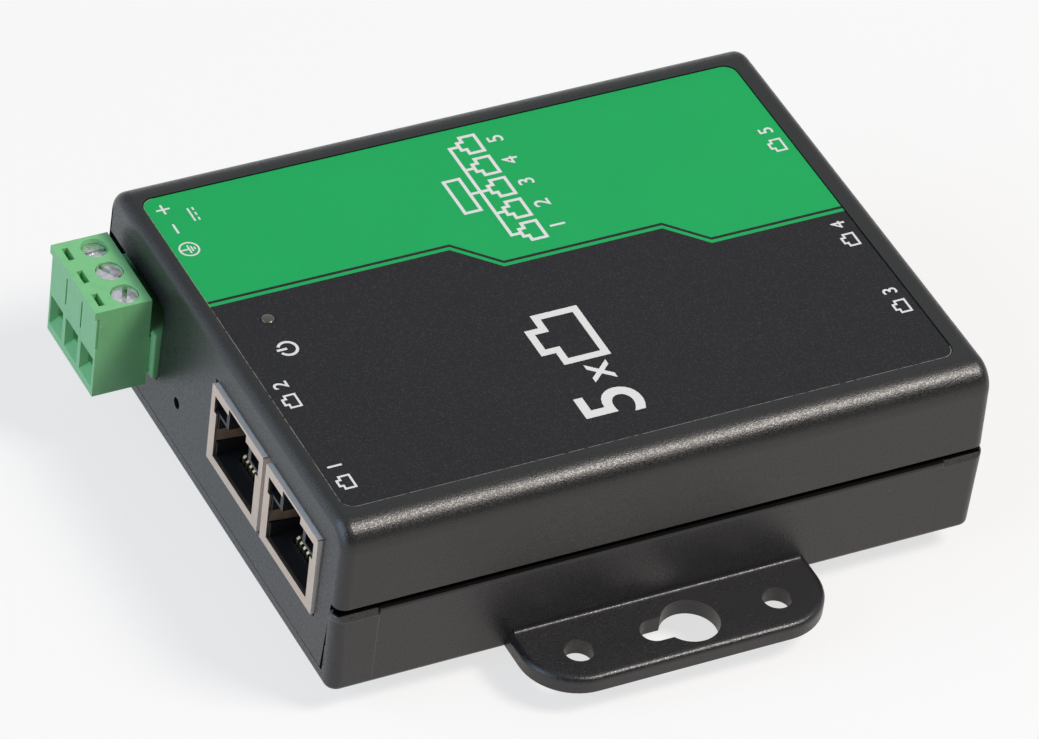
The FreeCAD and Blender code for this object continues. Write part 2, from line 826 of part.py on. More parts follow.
def seat_jack(part, number):
    """Stand a jack part on the board at its end of the case."""
    across, end = JACKS[number]
    sign = "-" if end < 0 else ""
    if end > 0:
        part.Placement = FreeCAD.Placement(
            FreeCAD.Vector(0, 0, 0), FreeCAD.Rotation(FreeCAD.Vector(0, 0, 1), 180)
        )
    part.setExpression("Placement.Base.x", bound(f"{sign}(case_length / 2 + jack_proud)"))
    part.setExpression("Placement.Base.y", bound(across))
    part.setExpression("Placement.Base.z", bound("board_top"))


def make_jack_shield(number):
    """Folded sheet shell with a stepped window and two side spring fingers."""
    body = new_body(f"jack_shield_{number}")
    shell = new_sketch(body, "YZ_Plane", "ShellOutline")
    rectangle(shell, "-jack_width / 2", "jack_width / 2", "jack_lift", "jack_lift + jack_height")
    pad(body, shell, "jack_depth", "ShellBlock")
    top = size("jack_lift") + size("jack_height")

    def bend(box):
        return box.XLength > 5 and flat_at(spans(box), 4, 5, top)

    round_edges(body, bend, "sheet", "Bends")
    inside = new_sketch(body, "XY_Plane", "InsideOutline")
    rectangle(
        inside,
        "sheet",
        "jack_depth - sheet",
        "-jack_width / 2 + sheet",
        "jack_width / 2 - sheet",
    )
    pocket(body, inside, "jack_lift + jack_height - sheet", "Inside", back=True)
    window = new_sketch(body, "YZ_Plane", "WindowOutline")
    polygon(
        window,
        [
            ("-window_half", "window_low"),
            ("window_half", "window_low"),
            ("window_half", "window_step"),
            ("window_wide", "window_step"),
            ("window_wide", "window_high"),
            ("latch_half", "window_high"),
            ("latch_half", "latch_high"),
            ("-latch_half", "latch_high"),
            ("-latch_half", "window_high"),
            ("-window_wide", "window_high"),
            ("-window_wide", "window_step"),
            ("-window_half", "window_step"),
        ],
    )
    pocket(body, window, "sheet + 0.2", "Window", back=True)
    for side, name in (("-", "Low"), ("", "High")):
        finger = new_sketch(body, "XY_Plane", "FingerOutline" + name, "finger_low")
        polygon(
            finger,
            [
                ("0", f"{side}window_half"),
                ("0", f"{side}(window_half + sheet)"),
                ("sheet", f"{side}(window_half + sheet)"),
                ("finger_reach", f"{side}(window_half + sheet - finger_dip)"),
                ("finger_reach + 1", f"{side}(window_half + sheet)"),
                ("finger_reach + 1", f"{side}window_half"),
                ("finger_reach", f"{side}(window_half - finger_dip)"),
                ("sheet", f"{side}window_half"),
            ],
        )
        pad(body, finger, "finger_high - finger_low", "Finger" + name)
    seat_jack(body, number)
    return body


def make_jack_insert(number):
    """Dark plastic core: plug cavity, latch way, light ways, contact well."""
    body = new_body(f"jack_insert_{number}")
    core = new_sketch(body, "YZ_Plane", "CoreOutline", "sheet + insert_slack")
    half = "jack_width / 2 - sheet - insert_slack"
    high = "jack_lift + jack_height - sheet - insert_slack"
    rectangle(core, f"-({half})", half, "0", high)
    pad(body, core, "jack_depth - 2 * sheet - 2 * insert_slack", "CoreBlock")
    step = new_sketch(body, "XY_Plane", "FootStepOutline", "jack_lift")
    rectangle(step, "0", "jack_proud + end_wall + jack_gap", "-jack_width / 2", "jack_width / 2")
    pocket(body, step, "jack_lift + 1", "FootStep")
    cavity = new_sketch(body, "YZ_Plane", "CavityOutline")
    polygon(
        cavity,
        [
            ("-cavity_half", "cavity_low"),
            ("cavity_half", "cavity_low"),
            ("cavity_half", "cavity_high"),
            ("latch_way_half", "cavity_high"),
            ("latch_way_half", "latch_way_high"),
            ("-latch_way_half", "latch_way_high"),
            ("-latch_way_half", "cavity_high"),
            ("-cavity_half", "cavity_high"),
        ],
    )
    pocket(body, cavity, "cavity_depth", "Cavity", back=True)
    lights = new_sketch(body, "YZ_Plane", "LightWayOutline")
    rectangle(
        lights, "light_way_inner", "light_way_outer", "light_way_low", "light_way_high"
    )
    rectangle(
        lights, "-light_way_outer", "-light_way_inner", "light_way_low", "light_way_high"
    )
    pocket(body, lights, "light_way_depth", "LightWays", back=True)
    well = new_sketch(body, "XY_Plane", "WellOutline")
    rectangle(well, "well_front", "well_back", "-well_half", "well_half")
    pocket(body, well, "cavity_low + 0.2", "Well", back=True)
    slots = new_sketch(body, "XY_Plane", "FingerSlotOutline", "finger_low - 0.2")
    for low, top in (("-jack_width / 2", "-cavity_half + 0.2"), ("cavity_half - 0.2", "jack_width / 2")):
        rectangle(slots, "0", "finger_reach + 1.4", low, top)
    pocket(body, slots, "finger_high - finger_low + 0.4", "FingerSlots", back=True)
    seat_jack(body, number)
    return body


def make_jack_contacts(number):
    """Eight spring wires: feet on the board, a bend at the front, ends sloping up and back."""
    body = new_body(f"jack_contacts_{number}")
    wire = new_sketch(body, "XZ_Plane", "WireOutline")
    polygon(
        wire,
        [
            ("well_back - wire_low", "0"),
            ("well_back - wire_low", "wire_low + wire_thick"),
            ("well_front + 4 * wire_inset", "wire_low + wire_thick"),
            ("well_front + wire_inset + wire_thick", "wire_step + wire_thick / 2"),
            ("well_front + wire_inset + wire_thick", "wire_knee - wire_thick - wire_inset / 2"),
            ("well_front + 3 * wire_inset", "wire_knee - wire_thick"),
            ("cavity_depth - wire_reach", "wire_rise - wire_thick"),
            ("cavity_depth - wire_reach", "wire_rise"),
            ("well_front + wire_reach", "wire_knee"),
            ("well_front + wire_inset", "wire_knee - wire_inset"),
            ("well_front + wire_inset", "wire_step"),
            ("well_front + wire_inset + wire_thick * 2", "wire_low"),
            ("well_back - wire_low - wire_thick", "wire_low"),
            ("well_back - wire_low - wire_thick", "0"),
        ],
    )
    first = pad(body, wire, "wire_width", "FirstWire", middle=True)
    row = body.newObject("PartDesign::LinearPattern", "WireRow")
    row.Originals = [first]
    axis = next(f for f in body.Origin.OriginFeatures if f.Role == "Y_Axis")
    row.Direction = (axis, [""])
    row.setExpression("Length", bound("7 * wire_pitch"))
    row.Occurrences = 8
    body.Tip = row
    doc.recompute()
    seat_jack(body, number)
    body.setExpression(
        "Placement.Base.y",
        bound(f"{JACKS[number][0]} {'-' if JACKS[number][1] < 0 else '+'} 3.5 * wire_pitch"),
    )
    return body


# ---------------------------------------------------------------- power terminal
POLES = ("terminal_y - pole_pitch", "terminal_y", "terminal_y + pole_pitch")
SLOT_TURNS = (64, -60, 3)


def make_terminal_header():
    """Moulded header on the board, open towards the end of the case."""
    body = new_body("terminal_header")
    block = new_sketch(body, "YZ_Plane", "HeaderOutline", "-header_front")
    rectangle(
        block,
        "terminal_y - header_width / 2",
        "terminal_y + header_width / 2",
        "board_top",
        "board_top + header_height",
    )
    pad(body, block, "header_depth", "HeaderBlock")
    front = -size("header_front")

    def lip(box):
        return flat_at(spans(box), 0, 1, front)

    round_edges(body, lip, "header_edge", "HeaderLip")
    mouth = new_sketch(body, "YZ_Plane", "MouthOutline", "-header_front")
    rectangle(
        mouth,
        "terminal_y - header_width / 2 + header_wall",
        "terminal_y + header_width / 2 - header_wall",
        "board_top + header_wall",
        "board_top + header_height - header_wall",
    )
    pocket(body, mouth, "header_depth - header_back", "Mouth", back=True)
    holes = new_sketch(body, "YZ_Plane", "PinHoleOutline", "-header_front + header_depth")
    for pole in POLES:
        rectangle(
            holes,
            f"{pole} - pin_size / 2 - pin_slack",
            f"{pole} + pin_size / 2 + pin_slack",
            "board_top + pin_rise - pin_size / 2 - pin_slack",
            "board_top + pin_rise + pin_size / 2 + pin_slack",
        )
    pocket(body, holes, "header_back + 0.5", "PinHoles")
    return body


def make_header_pins():
    """Three square pins bent down to the board behind the header, one group."""
    body = new_body("header_pins")
    legs = new_sketch(body, "YZ_Plane", "PinOutline", "-header_front + header_depth - header_back")
    for pole in POLES:
        rectangle(
            legs,
            f"{pole} - pin_size / 2",
            f"{pole} + pin_size / 2",
            "board_top + pin_rise - pin_size / 2",
            "board_top + pin_rise + pin_size / 2",
        )
    pad(body, legs, "pin_reach", "PinBlades", back=True)
    tails = new_sketch(
        body, "YZ_Plane", "PinTailOutline", "-header_front + header_depth - header_back"
    )
    for pole in POLES:
        rectangle(
            tails,
            f"{pole} - pin_size / 2",
            f"{pole} + pin_size / 2",
            "board_top + pin_rise - pin_size / 2",
            "board_top + pin_rise + pin_size / 2",
        )
    pad(body, tails, "header_back + pin_tail", "PinTails")
    drops = new_sketch(body, "XY_Plane", "PinDropOutline", "board_top")
    for pole in POLES:
        rectangle(
            drops,
            "-header_front + header_depth + pin_tail - pin_size",
            "-header_front + header_depth + pin_tail",
            f"{pole} - pin_size / 2",
            f"{pole} + pin_size / 2",
        )
    pad(body, drops, "pin_rise", "PinDrops")
    return body


def make_terminal_plug():
    """Pluggable block: nose in the header, screw wells on top, wire funnels in front."""
    body = new_body("terminal_plug")
    side = new_sketch(body, "XZ_Plane", "PlugProfile", "-terminal_y")
    nose_back = "-header_front - plug_gap + nose_length"
    nose_low = "board_top + header_wall + plug_slack"
    nose_high = "board_top + header_height - header_wall - plug_slack"
    polygon(
        side,
        [
            ("-plug_face", "plug_low"),
            ("-header_front - plug_gap", "plug_low"),
            ("-header_front - plug_gap", nose_low),
            (nose_back, nose_low),
            (nose_back, nose_high),
            ("-header_front - plug_gap", nose_high),
            ("-header_front - plug_gap", "plug_high"),
            ("-plug_out", "plug_high"),
            ("-plug_out", "plug_high - plug_lip"),
            ("-plug_face", "plug_high - plug_lip"),
        ],
    )
    pad(body, side, "3 * pole_pitch", "PlugBlock", middle=True)
    bores = new_sketch(body, "XY_Plane", "BoreOutline", "plug_high + 1")
    for pole in POLES:
        circle(bores, "-bore_x", pole, "bore_size")
    pocket(body, bores, "plug_high + 1 - ledge_top", "Bores")
    necks = new_sketch(body, "XY_Plane", "LedgeHoleOutline", "plug_high + 1")
    for pole in POLES:
        circle(necks, "-bore_x", pole, "shank_size + 4 * shank_slack")
    pocket(body, necks, "plug_high + 2 - ledge_low", "LedgeHoles")
    rooms = new_sketch(body, "XY_Plane", "ChamberOutline", "chamber_low")
    for pole in POLES:
        rectangle(
            rooms,
            "-chamber_front",
            "-chamber_back",
            f"{pole} - chamber_half",
            f"{pole} + chamber_half",
        )
    pocket(body, rooms, "ledge_low - chamber_low", "Chambers", back=True)
    entries = new_sketch(body, "YZ_Plane", "EntryOutline", "-plug_face - 1")
    for pole in POLES:
        rectangle(
            entries, f"{pole} - entry_half", f"{pole} + entry_half", "entry_low", "entry_high"
        )
    pocket(body, entries, "plug_face - chamber_front + 1.2", "Entries", back=True)
    for index, pole in enumerate(POLES, start=1):
        wide = new_sketch(body, "YZ_Plane", f"FlareMouth{index}", "-plug_face")
        rectangle(
            wide,
            f"{pole} - entry_half - 0.3",
            f"{pole} + entry_half + 0.3",
            "entry_low - entry_flare",
            "entry_high",
        )
        throat = new_sketch(
            body, "YZ_Plane", f"FlareThroat{index}", "-plug_face + entry_flare_depth"
        )
        rectangle(
            throat,
            f"{pole} - entry_half + 0.1",
            f"{pole} + entry_half - 0.1",
            "entry_low + 0.1",
            "entry_high - 0.1",
        )
        flare = body.newObject("PartDesign::SubtractiveLoft", f"Flare{index}")
        flare.Profile = wide
        flare.Sections = [throat]
        flare.Ruled = True
        doc.recompute()
    tests = new_sketch(body, "XY_Plane", "TestSlotOutline", "plug_high + 1")
    for pole in POLES:
        rectangle(
            tests,
            "-slot_x - slot_wide / 2",
            "-slot_x + slot_wide / 2",
            f"{pole} - slot_long / 2",
            f"{pole} + slot_long / 2",
        )
    pocket(body, tests, "slot_depth + 1", "TestSlots")
    ribs = new_sketch(body, "XY_Plane", "RibGrooveOutline", "rib_groove_low")
    for shift in ("-1.5", "-0.5", "0.5"):
        edge = f"terminal_y + ({shift}) * pole_pitch"
        rectangle(
            ribs,
            "-plug_face - 0.1",
            "-plug_face + rib_groove",
            f"{edge} - rib_groove / 2",
            f"{edge} + rib_groove / 2",
        )
    pocket(body, ribs, "plug_high - plug_lip - rib_groove_low", "RibGrooves", back=True)
    ways = new_sketch(body, "YZ_Plane", "ContactWayOutline", "-header_front - plug_gap + nose_length + 1")
    for pole in POLES:
        rectangle(
            ways,
            f"{pole} - socket_half - 0.1",
            f"{pole} + socket_half + 0.1",
            "socket_low - 0.1",
            "bar_top + 0.1",
        )
    pocket(body, ways, "chamber_back + 0.3 - header_front - plug_gap + nose_length + 1", "ContactWays")
    return body


def make_plug_contacts():
    """Three brass contacts: bar through the clamp, socket over the pin, one group."""
    body = new_body("plug_contacts")
    bars = new_sketch(body, "XY_Plane", "BarOutline", "bar_top - bar_thick")
    for pole in POLES:
        rectangle(
            bars,
            "-bore_x - cage_length / 2",
            "-chamber_back + 0.5",
            f"{pole} - bar_half + 0.2",
            f"{pole} + bar_half - 0.2",
        )
    pad(body, bars, "bar_thick", "Bars")
    sockets = new_sketch(body, "YZ_Plane", "SocketOutline", "-chamber_back + 0.1")
    for pole in POLES:
        rectangle(
            sockets,
            f"{pole} - socket_half",
            f"{pole} + socket_half",
            "socket_low",
            "bar_top",
        )
    pad(body, sockets, "socket_length", "Sockets")
    bores = new_sketch(body, "YZ_Plane", "SocketBoreOutline", "-chamber_back + 0.1 + socket_length")
    for pole in POLES:
        rectangle(
            bores,
            f"{pole} - socket_bore / 2",
            f"{pole} + socket_bore / 2",
            "board_top + pin_rise - socket_bore / 2",
            "board_top + pin_rise + socket_bore / 2",
        )
    pocket(body, bores, "socket_length - 0.6", "SocketBores")
    return body


def make_terminal_screw(number, lift):
    """Slotted clamping screw; its head stays on the ledge while the clamp travels."""
    body = new_body(f"terminal_screw_{number}")
    head = new_sketch(body, "XY_Plane", "HeadOutline")
    circle(head, "0", "0", "head_size")
    pad(body, head, "head_height", "Head")
    shank = new_sketch(body, "XY_Plane", "ShankOutline")
    circle(shank, "0", "0", "shank_size")
    pad(body, shank, "ledge_top + head_rest - shank_tip", "Shank", back=True)
    slot = new_sketch(body, "XY_Plane", "DriveOutline", "head_height")
    rectangle(slot, "-head_size", "head_size", "-head_slot / 2", "head_slot / 2")
    pocket(body, slot, "head_slot_depth", "Drive")
    body.Placement = FreeCAD.Placement(
        FreeCAD.Vector(0, 0, 0), FreeCAD.Rotation(FreeCAD.Vector(0, 0, 1), SLOT_TURNS[number - 1])
    )
    body.setExpression("Placement.Base.x", bound("-bore_x"))
    body.setExpression("Placement.Base.y", bound(POLES[number - 1]))
    body.setExpression("Placement.Base.z", bound(f"ledge_top + head_rest + {lift}"))
    return body


def make_wire_clamp(number):
    """Rising cage: threaded head above the contact bar, floor below the wire."""
    body = new_body(f"wire_clamp_{number}")
    block = new_sketch(body, "XY_Plane", "CageOutline")
    rectangle(block, "-cage_length / 2", "cage_length / 2", "-cage_half", "cage_half")
    pad(body, block, "cage_top - cage_low", "CageBlock")
    window = new_sketch(body, "YZ_Plane", "CageWindow")
    rectangle(
        window,
        "-cage_window_half",
        "cage_window_half",
        "cage_floor",
        "cage_top - cage_low - cage_head",
    )
    pocket(body, window, "cage_length + 2", "Window", middle=True)
    thread = new_sketch(body, "XY_Plane", "CageThread", "cage_top - cage_low + 0.5")
    circle(thread, "0", "0", "shank_size + 2 * shank_slack")
    pocket(body, thread, "cage_head + 1", "Thread")
    body.setExpression("Placement.Base.x", bound("-bore_x"))
    body.setExpression("Placement.Base.y", bound(POLES[number - 1]))
    body.setExpression("Placement.Base.z", bound("cage_low"))
    return body


# ---------------------------------------------------------------- fasteners and rail clip
def make_case_screws():
    """Four pan head screws from the underside, one group."""
    body = new_body("case_screws")
    places = [(x, y) for x in ("-post_x", "post_x") for y in ("-post_y", "post_y")]
    head = new_sketch(body, "XY_Plane", "HeadOutline", "screw_recess_depth")
    for x, y in places:
        circle(head, x, y, "screw_head")
    pad(body, head, "screw_head_height", "Heads", back=True)
    low = size("screw_recess_depth") - size("screw_head_height")

    def head_rim(box):
        return flat_at(spans(box), 4, 5, low)

    round_edges(body, head_rim, "head_round", "HeadRounding")
    shank = new_sketch(body, "XY_Plane", "ShankOutline", "screw_recess_depth")
    for x, y in places:
        circle(shank, x, y, "screw_size")
    pad(body, shank, "screw_length", "Shanks")
    cross = new_sketch(body, "XY_Plane", "DriveLong", "screw_recess_depth - screw_head_height")
    for x, y in places:
        rectangle(cross, f"{x} - bit_half", f"{x} + bit_half", f"{y} - bit_wide / 2", f"{y} + bit_wide / 2")
    pocket(body, cross, "recess_bit", "DriveAcross", back=True)
    cross = new_sketch(body, "XY_Plane", "DriveShort", "screw_recess_depth - screw_head_height")
    for x, y in places:
        rectangle(cross, f"{x} - bit_wide / 2", f"{x} + bit_wide / 2", f"{y} - bit_half", f"{y} + bit_half")
    pocket(body, cross, "recess_bit", "DriveAlong", back=True)
    return body


def make_rail_clip():
    """One-piece clip for a 35 mm rail: fixed hook at +X, sprung hook and release tab at -X."""
    body = new_body("rail_clip")
    side = new_sketch(body, "XZ_Plane", "ClipProfile")
    edge = "rail_width / 2 + rail_slack"
    under = "-clip_plate - rail_thick - rail_slack"
    tip = "rail_width / 2 - clip_hold"
    polygon(
        side,
        [
            (f"{edge} + clip_hook", "0"),
            (f"{edge} + clip_hook", f"{under} - clip_hook"),
            (tip, f"{under} - clip_hook"),
            (tip, under),
            (edge, under),
            (edge, "-clip_plate"),
            (f"-({edge})", "-clip_plate"),
            (f"-({edge})", under),
            (f"-({tip}) - clip_lead", under),
            (f"-({tip}) - clip_lead_tip", f"{under} - clip_hook"),
            (f"-({edge}) - clip_hook - clip_tab", f"{under} - clip_hook"),
            (f"-({edge}) - clip_hook - clip_tab", f"{under} - clip_hook + clip_tab_thick"),
            (f"-({edge}) - clip_hook", f"{under} - clip_hook + clip_tab_thick"),
            (f"-({edge}) - clip_hook", "0"),
        ],
    )
    pad(body, side, "clip_width", "ClipBlock", middle=True)
    holes = new_sketch(body, "XY_Plane", "ClipScrewOutline")
    for x in ("-clip_screw_x", "clip_screw_x"):
        circle(holes, x, "0", "screw_hole")
    pocket(body, holes, "clip_plate + 0.5", "ClipScrewHoles")
    slot = new_sketch(body, "XY_Plane", "ReleaseSlotOutline", f"{under} - clip_hook - 0.5")
    rectangle(
        slot,
        f"-({edge}) - clip_hook - clip_tab + clip_slot_edge",
        f"-({edge}) - clip_hook - clip_slot_root",
        "-clip_slot_half",
        "clip_slot_half",
    )
    pocket(body, slot, "clip_slot_depth", "ReleaseSlot", back=True)
    return body


def make_clip_screws():
    """Two pan head screws that hold the rail clip, one group."""
    body = new_body("clip_screws")
    head = new_sketch(body, "XY_Plane", "HeadOutline", "-clip_plate")
    for x in ("-clip_screw_x", "clip_screw_x"):
        circle(head, x, "0", "screw_head")
    pad(body, head, "screw_head_height", "Heads", back=True)
    low = -size("clip_plate") - size("screw_head_height")

    def head_rim(box):
        return flat_at(spans(box), 4, 5, low)

    round_edges(body, head_rim, "head_round", "HeadRounding")
    shank = new_sketch(body, "XY_Plane", "ShankOutline", "-clip_plate")
    for x in ("-clip_screw_x", "clip_screw_x"):
        circle(shank, x, "0", "screw_size")
    pad(body, shank, "clip_screw_length", "Shanks")
    cross = new_sketch(body, "XY_Plane", "DriveLong", "-clip_plate - screw_head_height")
    for x in ("-clip_screw_x", "clip_screw_x"):
        rectangle(cross, f"{x} - bit_half", f"{x} + bit_half", "-bit_wide / 2", "bit_wide / 2")
    pocket(body, cross, "recess_bit", "DriveAcross", back=True)
    cross = new_sketch(body, "XY_Plane", "DriveShort", "-clip_plate - screw_head_height")
    for x in ("-clip_screw_x", "clip_screw_x"):
        rectangle(cross, f"{x} - bit_wide / 2", f"{x} + bit_wide / 2", "-bit_half", "bit_half")
    pocket(body, cross, "recess_bit", "DriveAlong", back=True)
    return body


NODES = [
    make_top_cover(),
    make_base_tray(),
    make_front_label(),
    make_light_pipe(),
    make_circuit_board(),
    make_chip("switch_chip", ("0", "chip_y"), ("chip_size", "chip_size", "chip_height")),
    make_chip(
        "transformer_low",
        ("-magnetics_x", "pair_magnetics_y"),
        ("magnetics_width", "pair_magnetics_length", "magnetics_height"),
    ),
    make_chip(
        "transformer_high",
        ("magnetics_x", "jack_d_y"),
        ("magnetics_width", "row_magnetics_length", "magnetics_height"),
    ),
    make_chip("crystal", ("0", "crystal_y"), ("crystal_length", "crystal_width", "crystal_height")),
    make_chip(
        "power_inductor",
        ("inductor_x", "supply_y"),
        ("inductor_size", "inductor_size", "inductor_height"),
    ),
    make_chip(
        "regulator_chip",
        ("regulator_x", "supply_y"),
        ("regulator_width", "regulator_length", "regulator_height"),
    ),
    make_chip("power_light", ("pipe_x", "pipe_y"), ("light_length", "light_width", "light_height")),
    make_capacitors(),
]
for port in JACKS:
    NODES.append(make_jack_shield(port))
    NODES.append(make_jack_insert(port))
    NODES.append(make_jack_contacts(port))
NODES += [
    make_terminal_header(),
    make_header_pins(),
    make_terminal_plug(),
    make_plug_contacts(),
]
for pole_number, head_lift in ((1, "screw_lift"), (2, "screw_lift"), (3, "0")):
    NODES.append(make_terminal_screw(pole_number, head_lift))
    NODES.append(make_wire_clamp(pole_number))
NODES += [make_case_screws(), make_rail_clip(), make_clip_screws()]

doc.recompute()
for item in doc.Objects:
    if "Invalid" in item.State or "Error" in item.State:
        raise RuntimeError(f"{item.Label} is {item.State}")
for node in NODES:
    if node.Shape.isNull() or not node.Shape.isValid():
        raise RuntimeError(f"{node.Label} has no valid shape")
    node.Shape.exportStep(f"parts/{node.Label}.step")
print(len(NODES), "parts written")
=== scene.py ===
"""Looks of a five-port DIN rail network switch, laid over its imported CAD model.

Frame: +Z up out of the labelled roof, X along the long side, -X the end with two jacks and the
power terminal. Lengths are metres. Print on the label reads along +Y, its tops towards -X.
"""

import math

import bpy
import numpy as np
from bpy.props import FloatProperty, FloatVectorProperty, PointerProperty
from mathutils import Matrix, Vector


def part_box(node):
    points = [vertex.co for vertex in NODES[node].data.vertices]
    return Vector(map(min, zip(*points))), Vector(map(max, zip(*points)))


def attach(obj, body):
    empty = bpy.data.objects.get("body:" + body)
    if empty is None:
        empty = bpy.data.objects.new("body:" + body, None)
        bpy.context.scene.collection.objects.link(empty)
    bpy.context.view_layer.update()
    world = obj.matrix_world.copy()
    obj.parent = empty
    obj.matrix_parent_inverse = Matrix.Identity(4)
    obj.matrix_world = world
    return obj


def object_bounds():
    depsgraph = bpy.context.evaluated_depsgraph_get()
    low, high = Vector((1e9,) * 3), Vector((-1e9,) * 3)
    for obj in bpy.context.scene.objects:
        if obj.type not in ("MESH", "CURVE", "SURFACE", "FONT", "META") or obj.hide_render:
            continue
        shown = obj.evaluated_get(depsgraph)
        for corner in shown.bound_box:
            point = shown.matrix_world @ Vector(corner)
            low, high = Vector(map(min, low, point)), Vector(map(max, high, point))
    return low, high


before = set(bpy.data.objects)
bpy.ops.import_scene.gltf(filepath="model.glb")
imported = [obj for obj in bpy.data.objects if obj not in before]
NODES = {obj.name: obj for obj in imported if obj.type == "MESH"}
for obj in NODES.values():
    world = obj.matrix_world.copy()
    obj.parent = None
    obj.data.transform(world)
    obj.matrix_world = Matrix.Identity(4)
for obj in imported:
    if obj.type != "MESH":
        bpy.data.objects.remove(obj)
CAD_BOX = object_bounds()
LABEL_LOW, LABEL_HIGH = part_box("front_label")
MM = 0.001

# Places on the model that the boxes of its nodes don't give.
PIPE_RADIUS = 0.00095
SCREW_HEAD = 0.0018  # radius of a clamping screw's head
GATE_MARK = (0.0010, 0.0196)  # distance from the plug's outer end, and height
RIM_TOP = 0.01370  # height of the base's rim, where the seam starts
SIDE = 0.0368  # a point of the base further than this from the middle is on a long side

# Middles of the signs on the label, as X and Y.
PORT_SPOTS = ((-0.0442, -0.025), (-0.0442, -0.008))
PORT_SPOTS += ((0.0427, -0.0183), (0.0427, -0.0034), (0.0427, 0.0183))
PLUS_SPOT = (-0.0441, 0.0305)
MINUS_SPOT = (-0.0441, 0.0262)
EARTH_SPOT = (-0.0441, 0.0217)
DIRECT_SPOT = (-0.0405, 0.0283)
POWER_SPOT = (-0.0401, -0.0015)
MAP_SPOT = (0.0012, 0.0195)
COUNT_SPOT = (-0.004, -0.026)

# Flow shading and grain that all moulded parts but the housing share.
MOULD_FLOW = 0.004
MOULD_GRAIN = 0.0004
MOULD_DEPTH = 0.000006

# Colours of dust, marks, tones and cut edges. SEAM_SHADE is painted shade for the seam's mouth, and
# the pale cut-edge colours are partly painted highlights.
DUST = (0.3, 0.3, 0.29)
LINT = (0.2, 0.2, 0.2)
BEVEL_TONE = (0.045, 0.042, 0.041)
PALE_LINE = (0.12, 0.115, 0.11)
DARK_LINE = (0.003, 0.003, 0.003)
SEAM_SHADE = (0.004, 0.004, 0.004)
FILM_CUT_AND_HIGHLIGHT = (0.5, 0.5, 0.48)
SHEET_CUT_AND_HIGHLIGHT = (0.95, 0.9, 0.85)
DEEP_COPPER_TONE = (1.0, 0.74, 0.57)
GATE_GREEN = (0.42, 0.6, 0.33)
UNLIT_LAMP = (0.5, 0.48, 0.3)

# Studio. The tints are of lamps and of what gloss finds.
FLOOR_Z = CAD_BOX[0].z - 0.00004  # a hair under the lowest face, so that no two faces coincide
FLOOR_REACH = 2.0
AIM = (0, 0, 0.01)
KEY_SPOT, KEY_SIZE, KEY_TINT = (0.524, -0.51, 1.09), 0.42, (1.0, 0.93, 0.86)
WINDOW_SPOT, WINDOW_SIZE, WINDOW_TINT = (-1.25, 0.1, 0.5), 1.4, (0.72, 0.92, 1.2)
COOL_FLOOR, WARM_FLOOR = (0.9, 0.95, 1), (1, 0.93, 0.87)
SKY_TINT = (0.93, 0.98, 1.0)
CAMERA_SPOT = (-0.38299, -0.63125, 0.64106)
CAMERA_RIGHT = (0.893, -0.4392, 0.0986)
CAMERA_AHEAD = (0.3922, 0.6516, -0.6493)
LENS, SENSOR = 245.15, 36.0

bl_info = {
    "name": "Rail switch looks",
    "version": (1, 0, 0),
    "blender": (4, 5, 0),
    "location": "3D View > Sidebar > Rail switch",
    "description": "Finishes, label print and studio of a DIN rail network switch",
    "category": "Object",
}


# ---------------------------------------------------------------- settings


def colour_setting(name, description, default):
    return FloatVectorProperty(
        name=name, description=description, default=default, subtype="COLOR", min=0, max=1
    )


def length_setting(name, description, default):
    return FloatProperty(
        name=name, description=description, default=default, unit="LENGTH", precision=5
    )


def share_setting(name, description, default):
    return FloatProperty(
        name=name, description=description, default=default, min=0, max=1, subtype="FACTOR"
    )


class HousingSettings(bpy.types.PropertyGroup):
    colour: colour_setting("Plastic", "Colour of the moulded housing", (0.0128, 0.0124, 0.0126))
    base: colour_setting("Base plastic", "Colour of the moulded base", (0.0118, 0.0117, 0.0145))
    roughness: share_setting("Roughness", "Roughness of the moulded skin", 0.34)
    gloss: share_setting("Gloss", "Specular level of the moulded skin", 0.62)
    grain: length_setting("Grain", "Width of one grain of the eroded texture", 0.0002)
    grain_depth: length_setting("Grain depth", "Depth of the eroded texture", 0.00003)
    rim: length_setting("Matte rim", "Height from which the edge under the seam is matte", 0.01305)
    # painted shade: above this height the mouth of the seam is coloured near black and made metallic
    soot: length_setting("Gap shade", "Height of the dark edge in the mouth of the seam", 0.0003)
    bevel: length_setting("Bevel foot", "Height of the lower edge of the end bevels", 0.0125)
    foot: length_setting("Foot", "Height at which the insert lines start", 0.0011)
    witness_low: length_setting("Witness low X", "Parting line of the mould insert", -0.0426)
    witness_high: length_setting("Witness high X", "Parting line of the mould insert", 0.0423)
    witness_width: length_setting("Witness width", "Width of the parting lines", 0.00012)


class LabelSettings(bpy.types.PropertyGroup):
    green: colour_setting("Green", "Colour of the far field", (0.0082, 0.405, 0.106))
    charcoal: colour_setting("Charcoal", "Colour of the near field", (0.0143, 0.0141, 0.0172))
    ink: colour_setting("Ink", "Colour of the printed signs", (0.8, 0.81, 0.8))
    level_left: length_setting("Divider left", "Height of the divider at the left", 0.0108)
    level_middle: length_setting("Divider middle", "Height of the divider in the middle", 0.0052)
    level_right: length_setting("Divider right", "Height of the divider at the right", 0.0001)
    step_left: length_setting("First step", "Where the divider first steps down", -0.0102)
    step_right: length_setting("Second step", "Where the divider steps down again", 0.0196)
    gap: length_setting("Dark line", "Width of the dark line under the green field", 0.0005)
    stripe: length_setting("Stripe", "Width of the thin green stripe", 0.0006)
    number_height: length_setting("Number height", "Cap height of the port numbers", 0.0021)
    stroke: length_setting("Stroke", "Line width of the small signs", 0.00032)
    ink_height: length_setting("Ink height", "Thickness of the printed ink", 0.00001)
    corner: length_setting("Corner", "Radius of the film's corners", 0.00188)
    # the pale cut edge is partly a painted highlight, drawn only on the film's two near edges
    cut: length_setting("Cut edge", "Width of the pale cut edge of the film", 0.00009)
    lens_rise: length_setting("Lens rise", "Height of the light window's dome", 0.00032)


